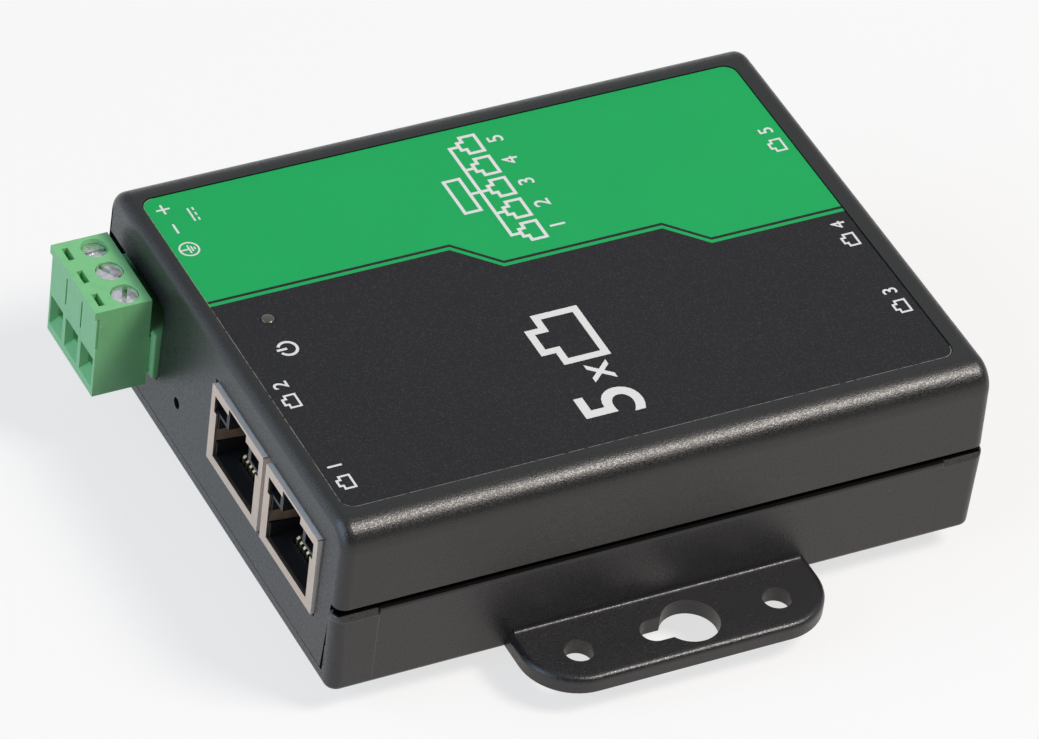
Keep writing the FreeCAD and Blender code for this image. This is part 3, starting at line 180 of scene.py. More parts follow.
class MetalSettings(bpy.types.PropertyGroup):
    shield: colour_setting("Shield", "Nickel over brass of the jack shields", (0.64, 0.53, 0.45))
    gold: colour_setting("Gold", "Plating of the jack contacts", (0.93, 0.82, 0.6))
    tin: colour_setting("Tin", "Tinned pins and contacts", (0.68, 0.67, 0.63))
    zinc: colour_setting("Zinc", "Plated clamping screws", (0.84, 0.83, 0.87))
    blackened: colour_setting("Blackened", "Case and clip screws", (0.03, 0.03, 0.032))


class PlasticSettings(bpy.types.PropertyGroup):
    terminal: colour_setting("Terminal", "Green of the power terminal", (0.222, 0.59, 0.262))
    insert: colour_setting("Insert", "Plastic inside the jacks", (0.012, 0.012, 0.014))
    clip: colour_setting("Rail clip", "Plastic of the rail clip", (0.03, 0.031, 0.033))
    pipe: colour_setting("Light pipe", "Smoky plastic of the light pipe", (0.06, 0.058, 0.042))
    mask: colour_setting("Solder mask", "Lacquer of the board", (0.012, 0.1, 0.035))
    epoxy: colour_setting("Chip epoxy", "Moulded parts on the board", (0.018, 0.018, 0.02))


class StageSettings(bpy.types.PropertyGroup):
    floor: colour_setting("Floor", "Colour of the floor", (0.88, 0.88, 0.88))
    bounce: colour_setting("Bounce", "What the floor throws back on the object", (0.38, 0.36, 0.34))
    bare: share_setting("Bare white", "Share of the floor that shows as plain white", 0.7)
    ambient: FloatProperty(name="Ambient", description="Strength of the even light", default=0.16)
    ceiling: FloatProperty(name="Ceiling", description="Grey that gloss finds overhead", default=0.5)
    key: FloatProperty(name="Key lamp", description="Power in watts", default=13.8)
    window: FloatProperty(name="Window lamp", description="Power in watts", default=12.6)


# ---------------------------------------------------------------- shader building


class Wire:
    """An output socket that takes part in arithmetic: each operator adds one Math node."""

    def __init__(self, finish, socket):
        self.finish = finish
        self.socket = socket

    def math(self, operation, *values):
        settings = {"operation": operation}
        return self.finish.node("ShaderNodeMath", settings, dict(enumerate(values)))

    def __add__(self, other):
        return self.math("ADD", self, other)

    def __sub__(self, other):
        return self.math("SUBTRACT", self, other)

    def __rsub__(self, other):
        return self.math("SUBTRACT", other, self)

    def __mul__(self, other):
        return self.math("MULTIPLY", self, other)

    def __truediv__(self, other):
        return self.math("DIVIDE", self, other)

    def __abs__(self):
        return self.math("ABSOLUTE", self)

    def __gt__(self, other):
        return self.math("GREATER_THAN", self, other)

    def __lt__(self, other):
        return self.math("LESS_THAN", self, other)

    __radd__ = __add__
    __rmul__ = __mul__

    def least(self, other):
        return self.math("MINIMUM", self, other)

    def most(self, other):
        return self.math("MAXIMUM", self, other)

    def root(self):
        return self.math("SQRT", self)

    def over(self, edge, soft):
        """0 below edge - soft, 1 above edge + soft, a straight ramp between."""
        settings = {"clamp": True}
        inputs = {"Value": self, "From Min": edge - soft, "From Max": edge + soft}
        return self.finish.node("ShaderNodeMapRange", settings, inputs)


class Finish:
    """One node tree while it is being built: a material's, or the world's."""

    def __init__(self, name, kind="materials", place="Object"):
        self.block = getattr(bpy.data, kind).new(name)
        self.block.use_nodes = True
        self.tree = self.block.node_tree
        self.tree.nodes.clear()
        self.place = self.node("ShaderNodeTexCoord", out=place)

    def node(self, kind, settings=None, inputs=None, out=0):
        """One node: its settings first, a ramp's stops among them, then its sockets."""
        made = self.tree.nodes.new(kind)
        for key, value in (settings or {}).items():
            if key != "stops":
                setattr(made, key, value)
                continue
            elements = made.color_ramp.elements
            while len(elements) < len(value):
                elements.new(1.0)
            for element, (spot, level) in zip(elements, value):
                element.position = spot
                element.color = (level, level, level, 1.0)
        for key, value in (inputs or {}).items():
            if isinstance(value, Wire):
                self.tree.links.new(value.socket, made.inputs[key])
            else:
                made.inputs[key].default_value = value
        return Wire(self, made.outputs[out]) if len(made.outputs) else None

    def axes(self):
        """The three coordinates as separate wires."""
        split = self.node("ShaderNodeSeparateXYZ", inputs={0: self.place}).socket.node
        return [Wire(self, output) for output in split.outputs]

    def stretched(self, scale):
        """Coordinates stretched per axis, for brushed or rolled patterns."""
        settings = {"operation": "MULTIPLY"}
        return self.node("ShaderNodeVectorMath", settings, {0: self.place, 1: scale})

    def noise(self, size, detail=2.0, where=None, roughness=0.5):
        """Even noise from 0 to 1 whose lumps are about size wide."""
        inputs = {
            "Vector": where or self.place,
            "Scale": 1.0 / size,
            "Detail": detail,
            "Roughness": roughness,
        }
        return self.node("ShaderNodeTexNoise", None, inputs)

    def cells(self, size):
        """Distance to the nearest of scattered points about size apart."""
        return self.node("ShaderNodeTexVoronoi", None, {"Vector": self.place, "Scale": 1.0 / size})

    def mix(self, low, high, share):
        """Colour low where share is 0 and high where it is 1."""
        inputs = {"Factor": share, 6: opaque(low), 7: opaque(high)}
        return self.node("ShaderNodeMix", {"data_type": "RGBA"}, inputs, out=2)

    def ray(self, kind):
        """1 for rays of one kind and 0 for all others."""
        return self.node("ShaderNodeLightPath", out=f"Is {kind} Ray")

    def bump(self, height, depth, under=None):
        """Normal of a height from 0 to 1 times a depth, on top of the normal under it."""
        inputs = {"Height": height, "Distance": depth, "Strength": 1.0}
        if under is not None:
            inputs["Normal"] = under
        return self.node("ShaderNodeBump", None, inputs)

    def surface(self, sockets):
        """A Principled surface with these sockets, wired to the output."""
        shader = self.node("ShaderNodeBsdfPrincipled", None, sockets)
        self.node("ShaderNodeOutputMaterial", None, {"Surface": shader})
        return self.block


def opaque(colour):
    """A property's colour with full alpha; a wire is passed on."""
    return colour if isinstance(colour, Wire) else (*colour[:3], 1.0)


def shade(colour, share):
    """A colour made lighter or darker by one share."""
    return tuple(min(1.0, level * share) for level in colour[:3])


def dress(material, *names):
    """Gives CAD nodes one material in all their slots."""
    for name in names:
        mesh = NODES[name].data
        mesh.materials.clear()
        mesh.materials.append(material)


# ---------------------------------------------------------------- shapes from arrays


def grid_faces(rows, columns, first=0):
    """Quads between the points of a grid that closes on itself along its columns."""
    row, column = np.meshgrid(np.arange(rows - 1), np.arange(columns), indexing="ij")
    along = (column + 1) % columns
    quads = [row * columns + column, row * columns + along]
    quads += [(row + 1) * columns + along, (row + 1) * columns + column]
    return np.stack(quads, axis=-1).reshape(-1, 4) + first


def stroke(path, width, height, closed=False):
    """Flat line of one width along a plane path, mitred at its corners.

    Each corner moves sideways by half the width over the cosine of half the turn, along the
    mean of its two side directions; the four edges of the bar are those two points at z 0
    and at the bar's height. Returns points and faces.
    """
    path = np.asarray(path, float)
    if closed:
        path = np.vstack([path, path[:1]])
    run = np.diff(path, axis=0)
    run /= np.linalg.norm(run, axis=1)[:, None]
    side = np.stack([-run[:, 1], run[:, 0]], axis=1)
    before = np.vstack([side[-1:] if closed else side[:1], side])
    after = np.vstack([side, side[:1] if closed else side[-1:]])
    mean = before + after
    mean /= (mean * before).sum(axis=1)[:, None]
    left, right = path + mean * width / 2, path - mean * width / 2
    low, high = np.zeros((len(path), 1)), np.full((len(path), 1), height)
    bar = [np.hstack([left, low]), np.hstack([right, low])]
    bar += [np.hstack([right, high]), np.hstack([left, high])]
    points = np.stack(bar, axis=1).reshape(-1, 3)
    faces = grid_faces(len(path), 4).tolist()
    if not closed:
        last = len(points)
        faces += [[3, 2, 1, 0], [last - 4, last - 3, last - 2, last - 1]]
    return points, faces


def arc(centre, radius, start, end, steps=40):
    """Points on a circle: centre plus radius times cosine and sine of the angle, in degrees."""
    turn = np.radians(np.linspace(start, end, steps))
    return np.stack([centre[0] + radius * np.cos(turn), centre[1] + radius * np.sin(turn)], axis=1)


def box_path(centre, width, height):
    """Four corners of an upright rectangle, anticlockwise."""
    u, v = centre
    half, rise = width / 2, height / 2
    return [(u - half, v - rise), (u + half, v - rise), (u + half, v + rise), (u - half, v + rise)]


def socket_path(centre, size):
    """Outline of a modular socket, its latch notch upwards, inside a square of one size."""
    outline = [(-1, -0.85), (1, -0.85), (1, 0.4), (0.45, 0.4), (0.45, 0.85), (-0.45, 0.85)]
    outline += [(-0.45, 0.4), (-1, 0.4)]
    return np.asarray(centre) + np.asarray(outline) * size / 2


def dome(centre, radius, rise, rings=16, columns=48):
    """Low lens: at a share s of the radius the height is the rise times the root of 1 - s squared."""
    share, turn = np.meshgrid(
        np.sin(np.linspace(0.5, 0.02, rings) * np.pi),
        np.arange(columns) / columns * 2 * np.pi,
        indexing="ij",
    )
    out = radius * share
    height = rise * np.sqrt(1 - share**2)
    points = np.stack([out * np.cos(turn), out * np.sin(turn), height], axis=-1).reshape(-1, 3)
    faces = grid_faces(rings, columns).tolist()
    faces.append(list(range((rings - 1) * columns, rings * columns)))
    faces.append(list(range(columns))[::-1])
    return points + np.asarray(centre), faces


def join(parts):
    """Points and faces of several shapes as one list each."""
    points, faces = [], []
    for some, polygons in parts:
        first = sum(len(block) for block in points)
        points.append(np.asarray(some, float))
        faces += [[first + index for index in polygon] for polygon in polygons]
    return np.vstack(points), faces


def on_label(points, origin):
    """Reading position on the label: across becomes +Y and upwards becomes -X."""
    across, up, rise = np.asarray(points, float).T
    top = LABEL_HIGH.z + rise
    return np.stack([origin[0] - up, origin[1] + across, top], axis=1)


def piece(name, points, faces, material, body):
    """A new mesh piece in place, with outward faces, riding on one body."""
    mesh = bpy.data.meshes.new(name)
    mesh.from_pydata(np.asarray(points).tolist(), [], faces)
    mesh.validate()
    mesh.update()
    mesh.materials.append(material)
    made = bpy.data.objects.new(name, mesh)
    bpy.context.scene.collection.objects.link(made)
    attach(made, body)
    return made


def glyphs(text, height, rise):
    """Upright characters of one cap height, centred on the origin, as points and faces."""
    curve = bpy.data.curves.new("characters", "FONT")
    curve.body = text
    curve.size = height / 0.7
    curve.extrude = rise / 2
    curve.offset = height * 0.012
    curve.resolution_u = 6
    holder = bpy.data.objects.new("characters", curve)
    bpy.context.scene.collection.objects.link(holder)
    graph = bpy.context.evaluated_depsgraph_get()
    mesh = bpy.data.meshes.new_from_object(holder.evaluated_get(graph))
    points = np.zeros(len(mesh.vertices) * 3)
    mesh.vertices.foreach_get("co", points)
    points = points.reshape(-1, 3)
    middle = (points.min(axis=0) + points.max(axis=0)) / 2
    points = points - middle + (0, 0, rise / 2)
    faces = [list(polygon.vertices) for polygon in mesh.polygons]
    bpy.data.objects.remove(holder)
    bpy.data.meshes.remove(mesh)
    bpy.data.curves.remove(curve)
    return points, faces


def shifted(shape, across, up):
    """A flat shape moved in its plane."""
    points, faces = shape
    return np.asarray(points, float) + (across, up, 0), faces


# ---------------------------------------------------------------- finishes


def housing_finish(name, settings, tone, base=False):
    """Satin black moulding: eroded grain, glints in its gloss, faint flow shading and dust."""
    flow_size, speck_pitch = 0.018, 0.0035
    make = Finish(name)
    grain = make.noise(settings.grain, 3.0, roughness=0.65)
    pits = make.cells(settings.grain * 1.3)
    flow = make.noise(flow_size, 2.0)
    speck = make.cells(speck_pitch)
    spark = make.noise(settings.grain * 1.5, 1.0).over(0.5, 0.12)
    colour = make.mix(shade(tone, 0.85), shade(tone, 1.18), flow)
    colour = make.mix(colour, shade(tone, 1.5), grain.over(0.62, 0.05) * 0.25)
    sockets = {
        "Base Color": make.mix(colour, DUST, (1 - speck.over(0.02, 0.008)) * 0.35),
        "Roughness": flow * 0.06 + spark * 0.14 + (settings.roughness - 0.1),
        "Normal": make.bump(grain * 0.7 + pits * 0.5, settings.grain_depth),
        "Specular IOR Level": settings.gloss,
    }
    if base:
        mark_base(make, settings, sockets)
    return make.surface(sockets)


def mark_base(make, settings, sockets):
    """What only the base shows, laid over the sockets of its skin.

    Hairlines stand where the mould inserts met: a pale one at the low end, which runs on along
    the foot of the end bevel, and a dark one at the high end. Between them the edge under the
    seam is matte; beyond them the end bevels are paler. The mouth of the seam gets painted shade:
    near black and metallic, which widens the seam's shadow.
    """
    across, along, up = make.axes()
    outside = abs(along) > SIDE
    near = along < -SIDE
    wall = near * (up > settings.foot) * (up < settings.bevel)
    half, soft = settings.witness_width / 2, 0.00003
    low = 1 - abs(across - settings.witness_low).over(half, soft)
    high = 1 - abs(across - settings.witness_high).over(half, soft)
    foot = 1 - abs(up - settings.bevel).over(half * 0.8, soft)
    pale = (low * wall).most(foot * (across < settings.witness_low) * near)
    dark = high * wall
    middle = (across > settings.witness_low) * (across < settings.witness_high)
    matte = up.over(settings.rim, 0.0002) * middle
    # the end bevels above their foot, beyond the insert lines, are made paler
    pale_bevel = (1 - middle) * outside * (up > settings.bevel)
    # painted shade in the mouth of the seam: near black and metallic, deepening the seam's shadow
    shadow = up.over(RIM_TOP - settings.soot, 0.00006) * outside
    colour = make.mix(sockets["Base Color"], BEVEL_TONE, pale_bevel)
    colour = make.mix(colour, PALE_LINE, pale * 0.55)
    colour = make.mix(colour, DARK_LINE, dark * 0.8)
    sockets["Base Color"] = make.mix(colour, SEAM_SHADE, shadow)
    sockets["Roughness"] = sockets["Roughness"].most(matte * 0.6)
    sockets["Normal"] = make.bump(pale - dark, 0.00003, sockets["Normal"])
    sockets["Metallic"] = shadow


def label_finish(settings):
    """Printed film: green and charcoal fields parted by a stepped line with a thin stripe.

    The height over the divider is worked out from the right: the smaller of the height over a
    level and the distance past its step, then the larger of that and the height over the level
    before it. The film's two near edges are cut a little rough and show pale; this pale cut edge
    is partly a painted highlight, as only the near edges get it.
    """
    chip_size, weave_size, cloud_size = 0.0009, 0.00022, 0.012
    slant = math.sqrt(0.5)
    make = Finish("label_film")
    across, along, _ = make.axes()
    slope = (across + along) * slant
    first = slope - (settings.step_left + settings.level_left) * slant
    second = slope - (settings.step_right + settings.level_middle) * slant
    over = (along - settings.level_right).least(second).most(along - settings.level_middle)
    over = over.least(first).most(along - settings.level_left)
    soft = 0.00002
    stripe = over.over(-settings.gap - settings.stripe, soft) * (1 - over.over(-settings.gap, soft))
    field = over.over(0.0, soft) + stripe
    middle = (LABEL_LOW + LABEL_HIGH) / 2
    half = (LABEL_HIGH - LABEL_LOW) / 2
    beside = (abs(across - middle.x) - (half.x - settings.corner)).most(0)
    beyond = (abs(along - middle.y) - (half.y - settings.corner)).most(0)
    edge = (beside * beside + beyond * beyond).root() - settings.corner
    chips = make.noise(chip_size, 3.0)
    # painted highlight: only the two near edges, not the far ones, get the pale cut edge
    highlit_near_edges = (along < LABEL_LOW.y + settings.corner).most(across < LABEL_LOW.x + settings.corner)
    cut = edge.over(-settings.cut, soft) * chips.over(0.42, 0.1) * highlit_near_edges
    weave = make.noise(weave_size, 2.0)
    cloud = make.noise(cloud_size, 2.0)
    charcoal = make.mix(shade(settings.charcoal, 0.94), shade(settings.charcoal, 1.08), cloud)
    green = make.mix(shade(settings.green, 0.96), shade(settings.green, 1.04), cloud)
    colour = make.mix(charcoal, green, field)
    colour = make.mix(colour, LINT, weave.over(0.6, 0.05) * 0.1)
    colour = make.mix(colour, FILM_CUT_AND_HIGHLIGHT, cut * 0.6)
    sockets = {
        "Base Color": colour,
        "Roughness": cloud * 0.08 + weave * 0.1 + 0.4,
        "Normal": make.bump(weave, 0.000004),
        "Specular IOR Level": 0.27,
    }
    return make.surface(sockets)


def ink_finish(settings):
    """Screen-printed ink with the faint print of its mesh, made once for all signs."""
    made = bpy.data.materials.get("screen_ink")
    if made:
        return made
    make = Finish("screen_ink")
    cloud = make.noise(0.0006, 2.0)
    colour = make.mix(shade(settings.ink, 0.94), settings.ink, cloud)
    normal = make.bump(make.noise(0.00015), 0.000003)
    rough = cloud * 0.1 + 0.42
    return make.surface({"Base Color": colour, "Roughness": rough, "Normal": normal})


def plastic_finish(name, colour, roughness, extra=None):
    """Moulded plastic: flow shading, grain, and scuffs that change only the gloss."""
    make = Finish(name)
    flow = make.noise(MOULD_FLOW, 2.0)
    scuff = make.noise(0.0015, 4.0, where=make.stretched((1.0, 0.35, 1.0)))
    sockets = {
        "Base Color": make.mix(shade(colour, 0.88), shade(colour, 1.12), flow),
        "Roughness": flow * 0.06 + scuff * 0.1 + (roughness - 0.08),
        "Normal": make.bump(make.noise(MOULD_GRAIN, 2.0), MOULD_DEPTH),
        **(extra or {}),
    }
    return make.surface(sockets)


def rolled_metal(make, colour, lines, where=None):
    """Rolling marks and dull patches: a colour, an addition to the roughness, and a normal."""
    rolled = make.noise(lines, 3.0, where=where)
    patch = make.noise(0.0025, 3.0)
    tone = make.mix(shade(colour, 0.86), shade(colour, 1.08), patch)
    tone = make.mix(tone, shade(colour, 0.6), rolled.over(0.68, 0.08) * 0.3)
    return tone, patch * 0.14 + rolled * 0.08, make.bump(rolled, 0.000004)


def metal_finish(name, colour, roughness, lines=0.0006):
    """Plated metal with rolling marks and dull patches."""
    make = Finish(name)
    tone, dull, normal = rolled_metal(make, colour, lines)
    rough = dull + (roughness - 0.1)
    sockets = {"Base Color": tone, "Roughness": rough, "Normal": normal, "Metallic": 1.0}
    return make.surface(sockets)


def screw_finish(name, colour, axis):
    """Plated screw head: turning rings about its axis on a crowned, slightly wavy face.

    The crown's height falls with the square of the distance from the axis; the rings are the
    sine of that distance over their spacing.
    """
    spacing, ring_depth = 0.00003, 0.0000012
    crown, wave_depth = 0.00035, 0.00009
    make = Finish(name)
    across, along, _ = make.axes()
    aside, beyond = across - axis.x, along - axis.y
    square = aside * aside + beyond * beyond
    rings = make.node("ShaderNodeMath", {"operation": "SINE"}, {0: square.root() / spacing})
    patch = make.noise(0.0007, 3.0)
    normal = make.bump(1 - square / SCREW_HEAD**2, crown)
    normal = make.bump(make.noise(0.0011, 2.0), wave_depth, normal)
    sockets = {
        "Base Color": make.mix(shade(colour, 0.8), shade(colour, 1.1), patch.over(0.5, 0.14)),
        "Roughness": patch * 0.16 + 0.16,
        "Normal": make.bump(rings, ring_depth, normal),
        "Metallic": 0.72,
    }
    return make.surface(sockets)


def shield_finish(name, colour, low, high):
    """Nickel over brass: sheet that is coppery further in than its front, and pale and duller at its
    cut edges.

    The box's corners give the top and the near side, whose faces are cut edges, and the front. The
    pale cut edges are partly a painted highlight: near white and hardly metallic.
    """
    lit_edge_width, front_depth, soft = 0.00004, 0.0007, 0.00002
    make = Finish(name)
    across, along, up = make.axes()
    stretched = make.stretched((0.15, 1, 1))
    tone, dull, normal = rolled_metal(make, colour, 0.0006, stretched)
    # painted highlight on the cut edges: the top face and the near side go near white and less
    # metallic
    edge = up.over(high.z - lit_edge_width, soft).most(1 - along.over(low.y + lit_edge_width, soft))
    front = low.x if low.x < 0 else high.x
    # coppery tone further in than the front face
    tone = make.mix(tone, DEEP_COPPER_TONE, abs(across - front).over(front_depth, 0.0001))
    sockets = {
        "Base Color": make.mix(tone, SHEET_CUT_AND_HIGHLIGHT, edge),
        "Roughness": dull + 0.24 + edge * 0.2,
        "Normal": normal,
        "Metallic": 1 - edge * 0.75,
    }
    return make.surface(sockets)


def terminal_finish(name, colour, gate):
    """Green moulding: flow shading, fine grain, scuffs in the gloss, and one gate mark.

    The gate mark is a small disc on the outer face, at the root of the squares of its two
    distances, with a raised rim.
    """
    radius, rim_from, soft, reach = 0.00042, 0.00027, 0.00004, 0.0002
    make = Finish(name)
    across, along, up = make.axes()
    flow = make.noise(MOULD_FLOW, 2.0)
    scuff = make.noise(0.0012, 4.0, where=make.stretched((1.0, 1.0, 0.4)))
    aside, above = across - gate.x, up - gate.z
    out = (aside * aside + above * above).root()
    disc = (1 - out.over(radius, soft)) * (along < gate.y + reach)
    rim = disc * out.over(rim_from, soft)
    tone = make.mix(shade(colour, 0.94), shade(colour, 1.06), flow)
    tone = make.mix(tone, shade(colour, 0.8), scuff.over(0.6, 0.08) * 0.3)
    normal = make.bump(make.noise(MOULD_GRAIN, 2.0), MOULD_DEPTH)
    sockets = {
        "Base Color": make.mix(tone, GATE_GREEN, disc * 0.5),
        "Roughness": flow * 0.06 + scuff * 0.14 + 0.26,
        "Normal": make.bump(rim - disc * 0.6, 0.00006, normal),
    }
    return make.surface(sockets)


# ---------------------------------------------------------------- operators


class SWITCH_OT_housing(bpy.types.Operator):
    """Moulded skin of the cover and the base"""

    bl_idname = "rail_switch.housing"
    bl_label = "Housing finish"

    def execute(self, context):
        settings = context.scene.switch_housing
        dress(housing_finish("housing_skin", settings, settings.colour), "top_cover")
        dress(housing_finish("base_skin", settings, settings.base, base=True), "base_tray")
        return {"FINISHED"}


class SWITCH_OT_label(bpy.types.Operator):
    """Printed film on the roof and its light window"""

    bl_idname = "rail_switch.label"
    bl_label = "Label and light window"

    def execute(self, context):
        settings = context.scene.switch_label
        dress(label_finish(settings), "front_label")
        colour = context.scene.switch_plastic.pipe
        pipe = plastic_finish("smoky_pipe", colour, 0.2, extra={"Coat Weight": 1.0})
        dress(pipe, "light_pipe")
        low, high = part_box("light_pipe")
        middle = (low + high) / 2
        points, faces = dome((middle.x, middle.y, LABEL_HIGH.z), PIPE_RADIUS, settings.lens_rise)
        lens = piece("window_lens", points, faces, pipe, "housing")
        lens.data.shade_smooth()
        return {"FINISHED"}


class SWITCH_OT_port_signs(bpy.types.Operator):
    """Number and socket sign beside each jack"""

    bl_idname = "rail_switch.port_signs"
    bl_label = "Port numbers and signs"

    def execute(self, context):
        settings = context.scene.switch_label
        ink = ink_finish(settings)
        size, rise = settings.number_height, settings.ink_height
        for number, spot in enumerate(PORT_SPOTS, start=1):
            digit = glyphs(str(number), size, rise)
            sign = stroke(socket_path((-size * 1.6, 0), size * 1.15), settings.stroke, rise, True)
            points, faces = join([digit, sign])
            points = on_label(points, spot)
            piece(f"port_sign_{number}", points, faces, ink, "housing")
        return {"FINISHED"}


class SWITCH_OT_power_signs(bpy.types.Operator):
    """Polarity, direct current, earth and power signs"""

    bl_idname = "rail_switch.power_signs"
    bl_label = "Power signs"

    def execute(self, context):
        settings = context.scene.switch_label
        ink = ink_finish(settings)
        rise, line, mm = settings.ink_height, settings.stroke, MM
        plus = [stroke([(-mm, 0), (mm, 0)], line, rise)]
        plus += [stroke([(0, line / 2), (0, mm)], line, rise)]
        plus += [stroke([(0, -mm), (0, -line / 2)], line, rise)]
        minus = [stroke([(-mm, 0), (mm, 0)], line, rise)]
        thin, bold, foot = line * 0.8, line * 1.3, 0.1 * mm
        reach, apart, dash_length = 1.4 * mm, 0.35 * mm, 0.6
        direct = [stroke([(-reach, apart), (reach, apart)], thin, rise)]
        for start in (-1.4, -0.3, 0.8):
            dash = [(start * mm, -apart), ((start + dash_length) * mm, -apart)]
            direct.append(stroke(dash, thin, rise))
        earth = [stroke(arc((0, 0), 1.35 * mm, 0, 351), thin, rise, True)]
        earth.append(stroke([(0, foot), (0, 1.2 * mm)], thin, rise))
        for half, height in ((0.85, 0.0), (0.55, -0.4), (0.25, -0.8)):
            bar = [(-half * mm, height * mm), (half * mm, height * mm)]
            earth.append(stroke(bar, line * 0.7, rise))
        power = [stroke(arc((0, 0), 1.3 * mm, 118, 422), bold, rise)]
        power.append(stroke([(0, foot), (0, 1.6 * mm)], bold, rise))
        signs = {
            "plus_sign": (plus, PLUS_SPOT),
            "minus_sign": (minus, MINUS_SPOT),
            "earth_sign": (earth, EARTH_SPOT),
            "direct_current_sign": (direct, DIRECT_SPOT),
            "power_sign": (power, POWER_SPOT),
        }
        for name, (shapes, spot) in signs.items():
            points, faces = join(shapes)
            piece(name, on_label(points, spot), faces, ink, "housing")
        return {"FINISHED"}


class SWITCH_OT_port_map(bpy.types.Operator):
    """Tree of one hub and five sockets on the green field, and the count on the dark field"""

    bl_idname = "rail_switch.port_map"
    bl_label = "Port map"

    def execute(self, context):
        settings = context.scene.switch_label
        ink = ink_finish(settings)
        rise, mm = settings.ink_height, MM
        line, pitch, size = 0.5 * mm, 4.9 * mm, 3.6 * mm
        hub, hub_foot, bus = (0, 5.2 * mm), 4 * mm, 2.4 * mm
        socket, digit, digit_height = -0.6 * mm, -4.6 * mm, 2.3 * mm
        tree = [stroke(box_path(hub, 7 * mm, 2.4 * mm), line, rise, True)]
        tree.append(stroke([(0, bus + line / 2), (0, hub_foot - line / 2)], line, rise))
        tree.append(stroke([(-2 * pitch - line / 2, bus), (2 * pitch + line / 2, bus)], line, rise))
        for number in range(1, 6):
            across = (number - 3) * pitch
            top = socket + 0.85 * size / 2 + line / 2
            tree.append(stroke([(across, top), (across, bus - line / 2)], line, rise))
            tree.append(stroke(socket_path((across, socket), size), line, rise, True))
            tree.append(shifted(glyphs(str(number), digit_height, rise), across, digit))
        points, faces = join(tree)
        points = on_label(points, MAP_SPOT)
        piece("port_map", points, faces, ink, "housing")
        count = [glyphs("5", 9 * mm, rise)]
        count.append(shifted(glyphs("x", 5 * mm, rise), 6.2 * mm, -1.6 * mm))
        count.append(stroke(socket_path((14.2 * mm, 0), 9.5 * mm), 1.1 * mm, rise, True))
        points, faces = join(count)
        points = on_label(points, COUNT_SPOT)
        piece("port_count", points, faces, ink, "housing")
        return {"FINISHED"}


class SWITCH_OT_jacks(bpy.types.Operator):
    """Shields, inserts and contacts of the five jacks"""

    bl_idname = "rail_switch.jacks"
    bl_label = "Jacks"

    def execute(self, context):
        metal, plastic = context.scene.switch_metal, context.scene.switch_plastic
        insert = plastic_finish("jack_plastic", plastic.insert, 0.42)
        gold = metal_finish("gold_plate", metal.gold, 0.34, lines=0.0003)
        for number in range(1, 6):
            low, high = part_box(f"jack_shield_{number}")
            shield = shield_finish(f"nickel_sheet_{number}", metal.shield, low, high)
            dress(shield, f"jack_shield_{number}")
            dress(insert, f"jack_insert_{number}")
            dress(gold, f"jack_contacts_{number}")
        return {"FINISHED"}


class SWITCH_OT_terminal(bpy.types.Operator):
    """Power terminal: plug, header, pins, contacts, cages and clamping screws"""

    bl_idname = "rail_switch.terminal"
    bl_label = "Power terminal"

    def execute(self, context):
        metal, plastic = context.scene.switch_metal, context.scene.switch_plastic
        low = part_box("terminal_plug")[0]
        gate = Vector((low.x + GATE_MARK[0], low.y, GATE_MARK[1]))
        green = terminal_finish("terminal_plastic", plastic.terminal, gate)
        dress(green, "terminal_plug", "terminal_header")
        tin = metal_finish("tin_plate", metal.tin, 0.3)
        dress(tin, "header_pins", "plug_contacts")
        zinc = metal_finish("zinc_plate", shade(metal.zinc, 0.75), 0.32)
        for number in range(1, 4):
            low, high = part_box(f"terminal_screw_{number}")
            turned = screw_finish(f"turned_zinc_{number}", metal.zinc, (low + high) / 2)
            dress(turned, f"terminal_screw_{number}")
            dress(zinc, f"wire_clamp_{number}")
        return {"FINISHED"}


class SWITCH_OT_board(bpy.types.Operator):
    """Circuit board and the parts soldered to it"""

    bl_idname = "rail_switch.board"
    bl_label = "Board and components"

    def execute(self, context):
        plastic, metal = context.scene.switch_plastic, context.scene.switch_metal
        dress(plastic_finish("solder_mask", plastic.mask, 0.3), "circuit_board")
        epoxy = plastic_finish("chip_epoxy", plastic.epoxy, 0.6)
        names = ("switch_chip", "transformer_low", "transformer_high", "regulator_chip")
        dress(epoxy, *names, "power_inductor")
        can = metal_finish("drawn_can", metal.tin, 0.36)
        dress(can, "crystal", "input_capacitors")
        dress(plastic_finish("light_lens", UNLIT_LAMP, 0.3), "power_light")
        return {"FINISHED"}


class SWITCH_OT_mounting(bpy.types.Operator):
    """Rail clip and the screws that hold it and the case"""

    bl_idname = "rail_switch.mounting"
    bl_label = "Rail clip and case screws"

    def execute(self, context):
        clip = context.scene.switch_plastic.clip
        dress(plastic_finish("clip_plastic", clip, 0.45), "rail_clip")
        black = metal_finish("black_zinc", context.scene.switch_metal.blackened, 0.4)
        dress(black, "case_screws", "clip_screws")
        return {"FINISHED"}


class SWITCH_OT_studio(bpy.types.Operator):
    """Floor, soft lamps, even sky and the camera"""

    bl_idname = "rail_switch.studio"
    bl_label = "Studio"

    def execute(self, context):
        settings = context.scene.switch_stage
        floor_plane(settings)
        even_sky(settings)
        soft_lamp("key_lamp", KEY_SPOT, KEY_SIZE, settings.key, KEY_TINT)
        soft_lamp("window_lamp", WINDOW_SPOT, WINDOW_SIZE, settings.window, WINDOW_TINT)
        studio_camera()
        context.scene.view_settings.view_transform = "Standard"
        return {"FINISHED"}


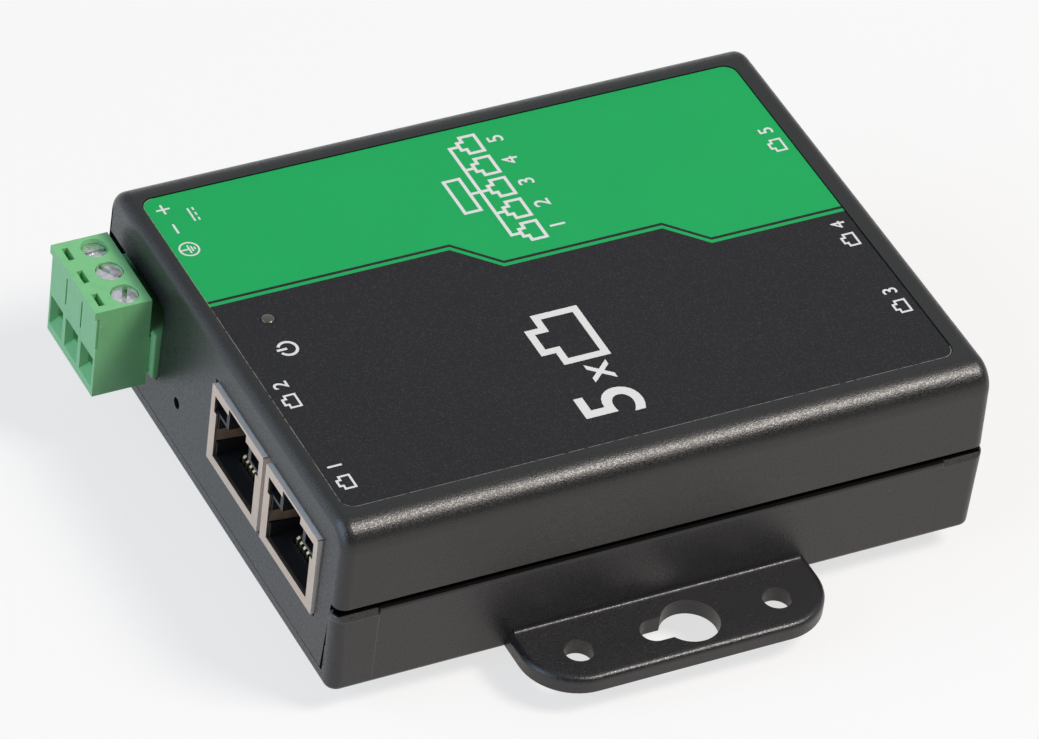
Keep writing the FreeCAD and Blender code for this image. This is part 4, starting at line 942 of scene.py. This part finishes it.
def floor_plane(settings):
    """A flat square under the lowest point.

    Straight looks, gloss and glass see mostly plain white, with the rest left to the shadow;
    gloss finds it cooler at the left and warmer at the right. The light it throws back is that
    of a greyer floor.
    """
    make = Finish("pale_floor")
    gloss = make.ray("Glossy")
    seen = make.ray("Camera").most(gloss).most(make.ray("Transmission"))
    tone = make.mix(shade(settings.floor, 0.995), settings.floor, make.noise(0.2))
    tone = make.mix(settings.bounce, tone, seen)
    cloth = make.node("ShaderNodeBsdfDiffuse", None, {"Color": tone})
    across, along, _ = make.axes()
    sheen = make.mix(COOL_FLOOR, WARM_FLOOR, (across - along).over(-0.02, 0.03))
    white = make.node("ShaderNodeEmission", None, {0: make.mix((1, 1, 1), sheen, gloss)})
    lit = make.node("ShaderNodeMixShader", None, {0: seen * settings.bare, 1: cloth, 2: white})
    make.node("ShaderNodeOutputMaterial", None, {"Surface": lit})
    mesh = bpy.data.meshes.new("floor")
    corners = np.array([(-1, -1), (1, -1), (1, 1), (-1, 1)], float) * FLOOR_REACH
    points = np.hstack([corners, np.full((4, 1), FLOOR_Z)])
    mesh.from_pydata(points.tolist(), [], [[0, 1, 2, 3]])
    mesh.materials.append(make.block)
    floor = bpy.data.objects.new("floor", mesh)
    bpy.context.scene.collection.objects.link(floor)


def even_sky(settings):
    """Even light; looks and gloss find white at the horizon and a ceiling, darker towards -Y."""
    make = Finish("even_sky", "worlds", "Generated")
    bpy.context.scene.world = make.block
    _, along, up = make.axes()
    span = {"Value": along, "From Min": -0.6, "From Max": 0.2}
    span.update({"To Min": settings.ceiling * 0.3, "To Max": settings.ceiling})
    ceiling = make.node("ShaderNodeMapRange", None, span)
    climb = {"Value": up, "From Min": 0.0, "From Max": 0.14, "To Min": 1.0, "To Max": ceiling}
    level = make.node("ShaderNodeMapRange", {"interpolation_type": "SMOOTHSTEP"}, climb)
    gloss = make.ray("Glossy")
    white = {"Color": (1, 1, 1, 1), "Strength": settings.ambient}
    light = make.node("ShaderNodeBackground", None, white)
    shown = {"Color": make.mix((1, 1, 1), SKY_TINT, gloss), "Strength": level}
    backdrop = make.node("ShaderNodeBackground", None, shown)
    seen = make.ray("Camera").most(gloss)
    both = make.node("ShaderNodeMixShader", None, {0: seen, 1: light, 2: backdrop})
    make.node("ShaderNodeOutputWorld", None, {"Surface": both})


def soft_lamp(name, spot, size, power, colour):
    """Square area lamp at a spot, facing the middle of the object."""
    lamp = bpy.data.lights.new(name, "AREA")
    lamp.shape = "SQUARE"
    lamp.size = size
    lamp.energy = power
    lamp.color = colour
    holder = bpy.data.objects.new(name, lamp)
    holder.location = spot
    aim = Vector(AIM) - Vector(spot)
    holder.rotation_euler = aim.to_track_quat("-Z", "Y").to_euler()
    bpy.context.scene.collection.objects.link(holder)


def studio_camera():
    """Long lens from the front left, a little over forty degrees up."""
    camera = bpy.data.cameras.new("studio_camera")
    camera.lens = LENS
    camera.sensor_width = SENSOR
    camera.clip_start = 0.05
    camera.clip_end = 20.0
    holder = bpy.data.objects.new("studio_camera", camera)
    ahead = Vector(CAMERA_AHEAD).normalized()
    right = Vector(CAMERA_RIGHT)
    right = (right - ahead * right.dot(ahead)).normalized()
    rise = right.cross(ahead)
    turn = Matrix((right, rise, -ahead)).transposed().to_4x4()
    holder.matrix_world = Matrix.Translation(CAMERA_SPOT) @ turn
    bpy.context.scene.collection.objects.link(holder)
    bpy.context.scene.camera = holder


class SWITCH_PT_panel(bpy.types.Panel):
    """Lists the finishes, the print and the studio"""

    bl_idname = "SWITCH_PT_panel"
    bl_label = "Rail switch"
    bl_space_type = "VIEW_3D"
    bl_region_type = "UI"
    bl_category = "Rail switch"

    def draw(self, context):
        for operator in OPERATORS:
            self.layout.operator(operator.bl_idname)


SETTINGS = {
    "switch_housing": HousingSettings,
    "switch_label": LabelSettings,
    "switch_metal": MetalSettings,
    "switch_plastic": PlasticSettings,
    "switch_stage": StageSettings,
}
OPERATORS = (
    SWITCH_OT_housing,
    SWITCH_OT_label,
    SWITCH_OT_port_signs,
    SWITCH_OT_power_signs,
    SWITCH_OT_port_map,
    SWITCH_OT_jacks,
    SWITCH_OT_terminal,
    SWITCH_OT_board,
    SWITCH_OT_mounting,
    SWITCH_OT_studio,
)


def register():
    for kind in (*SETTINGS.values(), *OPERATORS, SWITCH_PT_panel):
        bpy.utils.register_class(kind)
    for name, kind in SETTINGS.items():
        setattr(bpy.types.Scene, name, PointerProperty(type=kind))


def unregister():
    for name in SETTINGS:
        delattr(bpy.types.Scene, name)
    for kind in (SWITCH_PT_panel, *reversed(OPERATORS), *SETTINGS.values()):
        bpy.utils.unregister_class(kind)


def main():
    register()
    for operator in OPERATORS:
        group, name = operator.bl_idname.split(".")
        getattr(getattr(bpy.ops, group), name)()


if __name__ == "__main__":
    main()
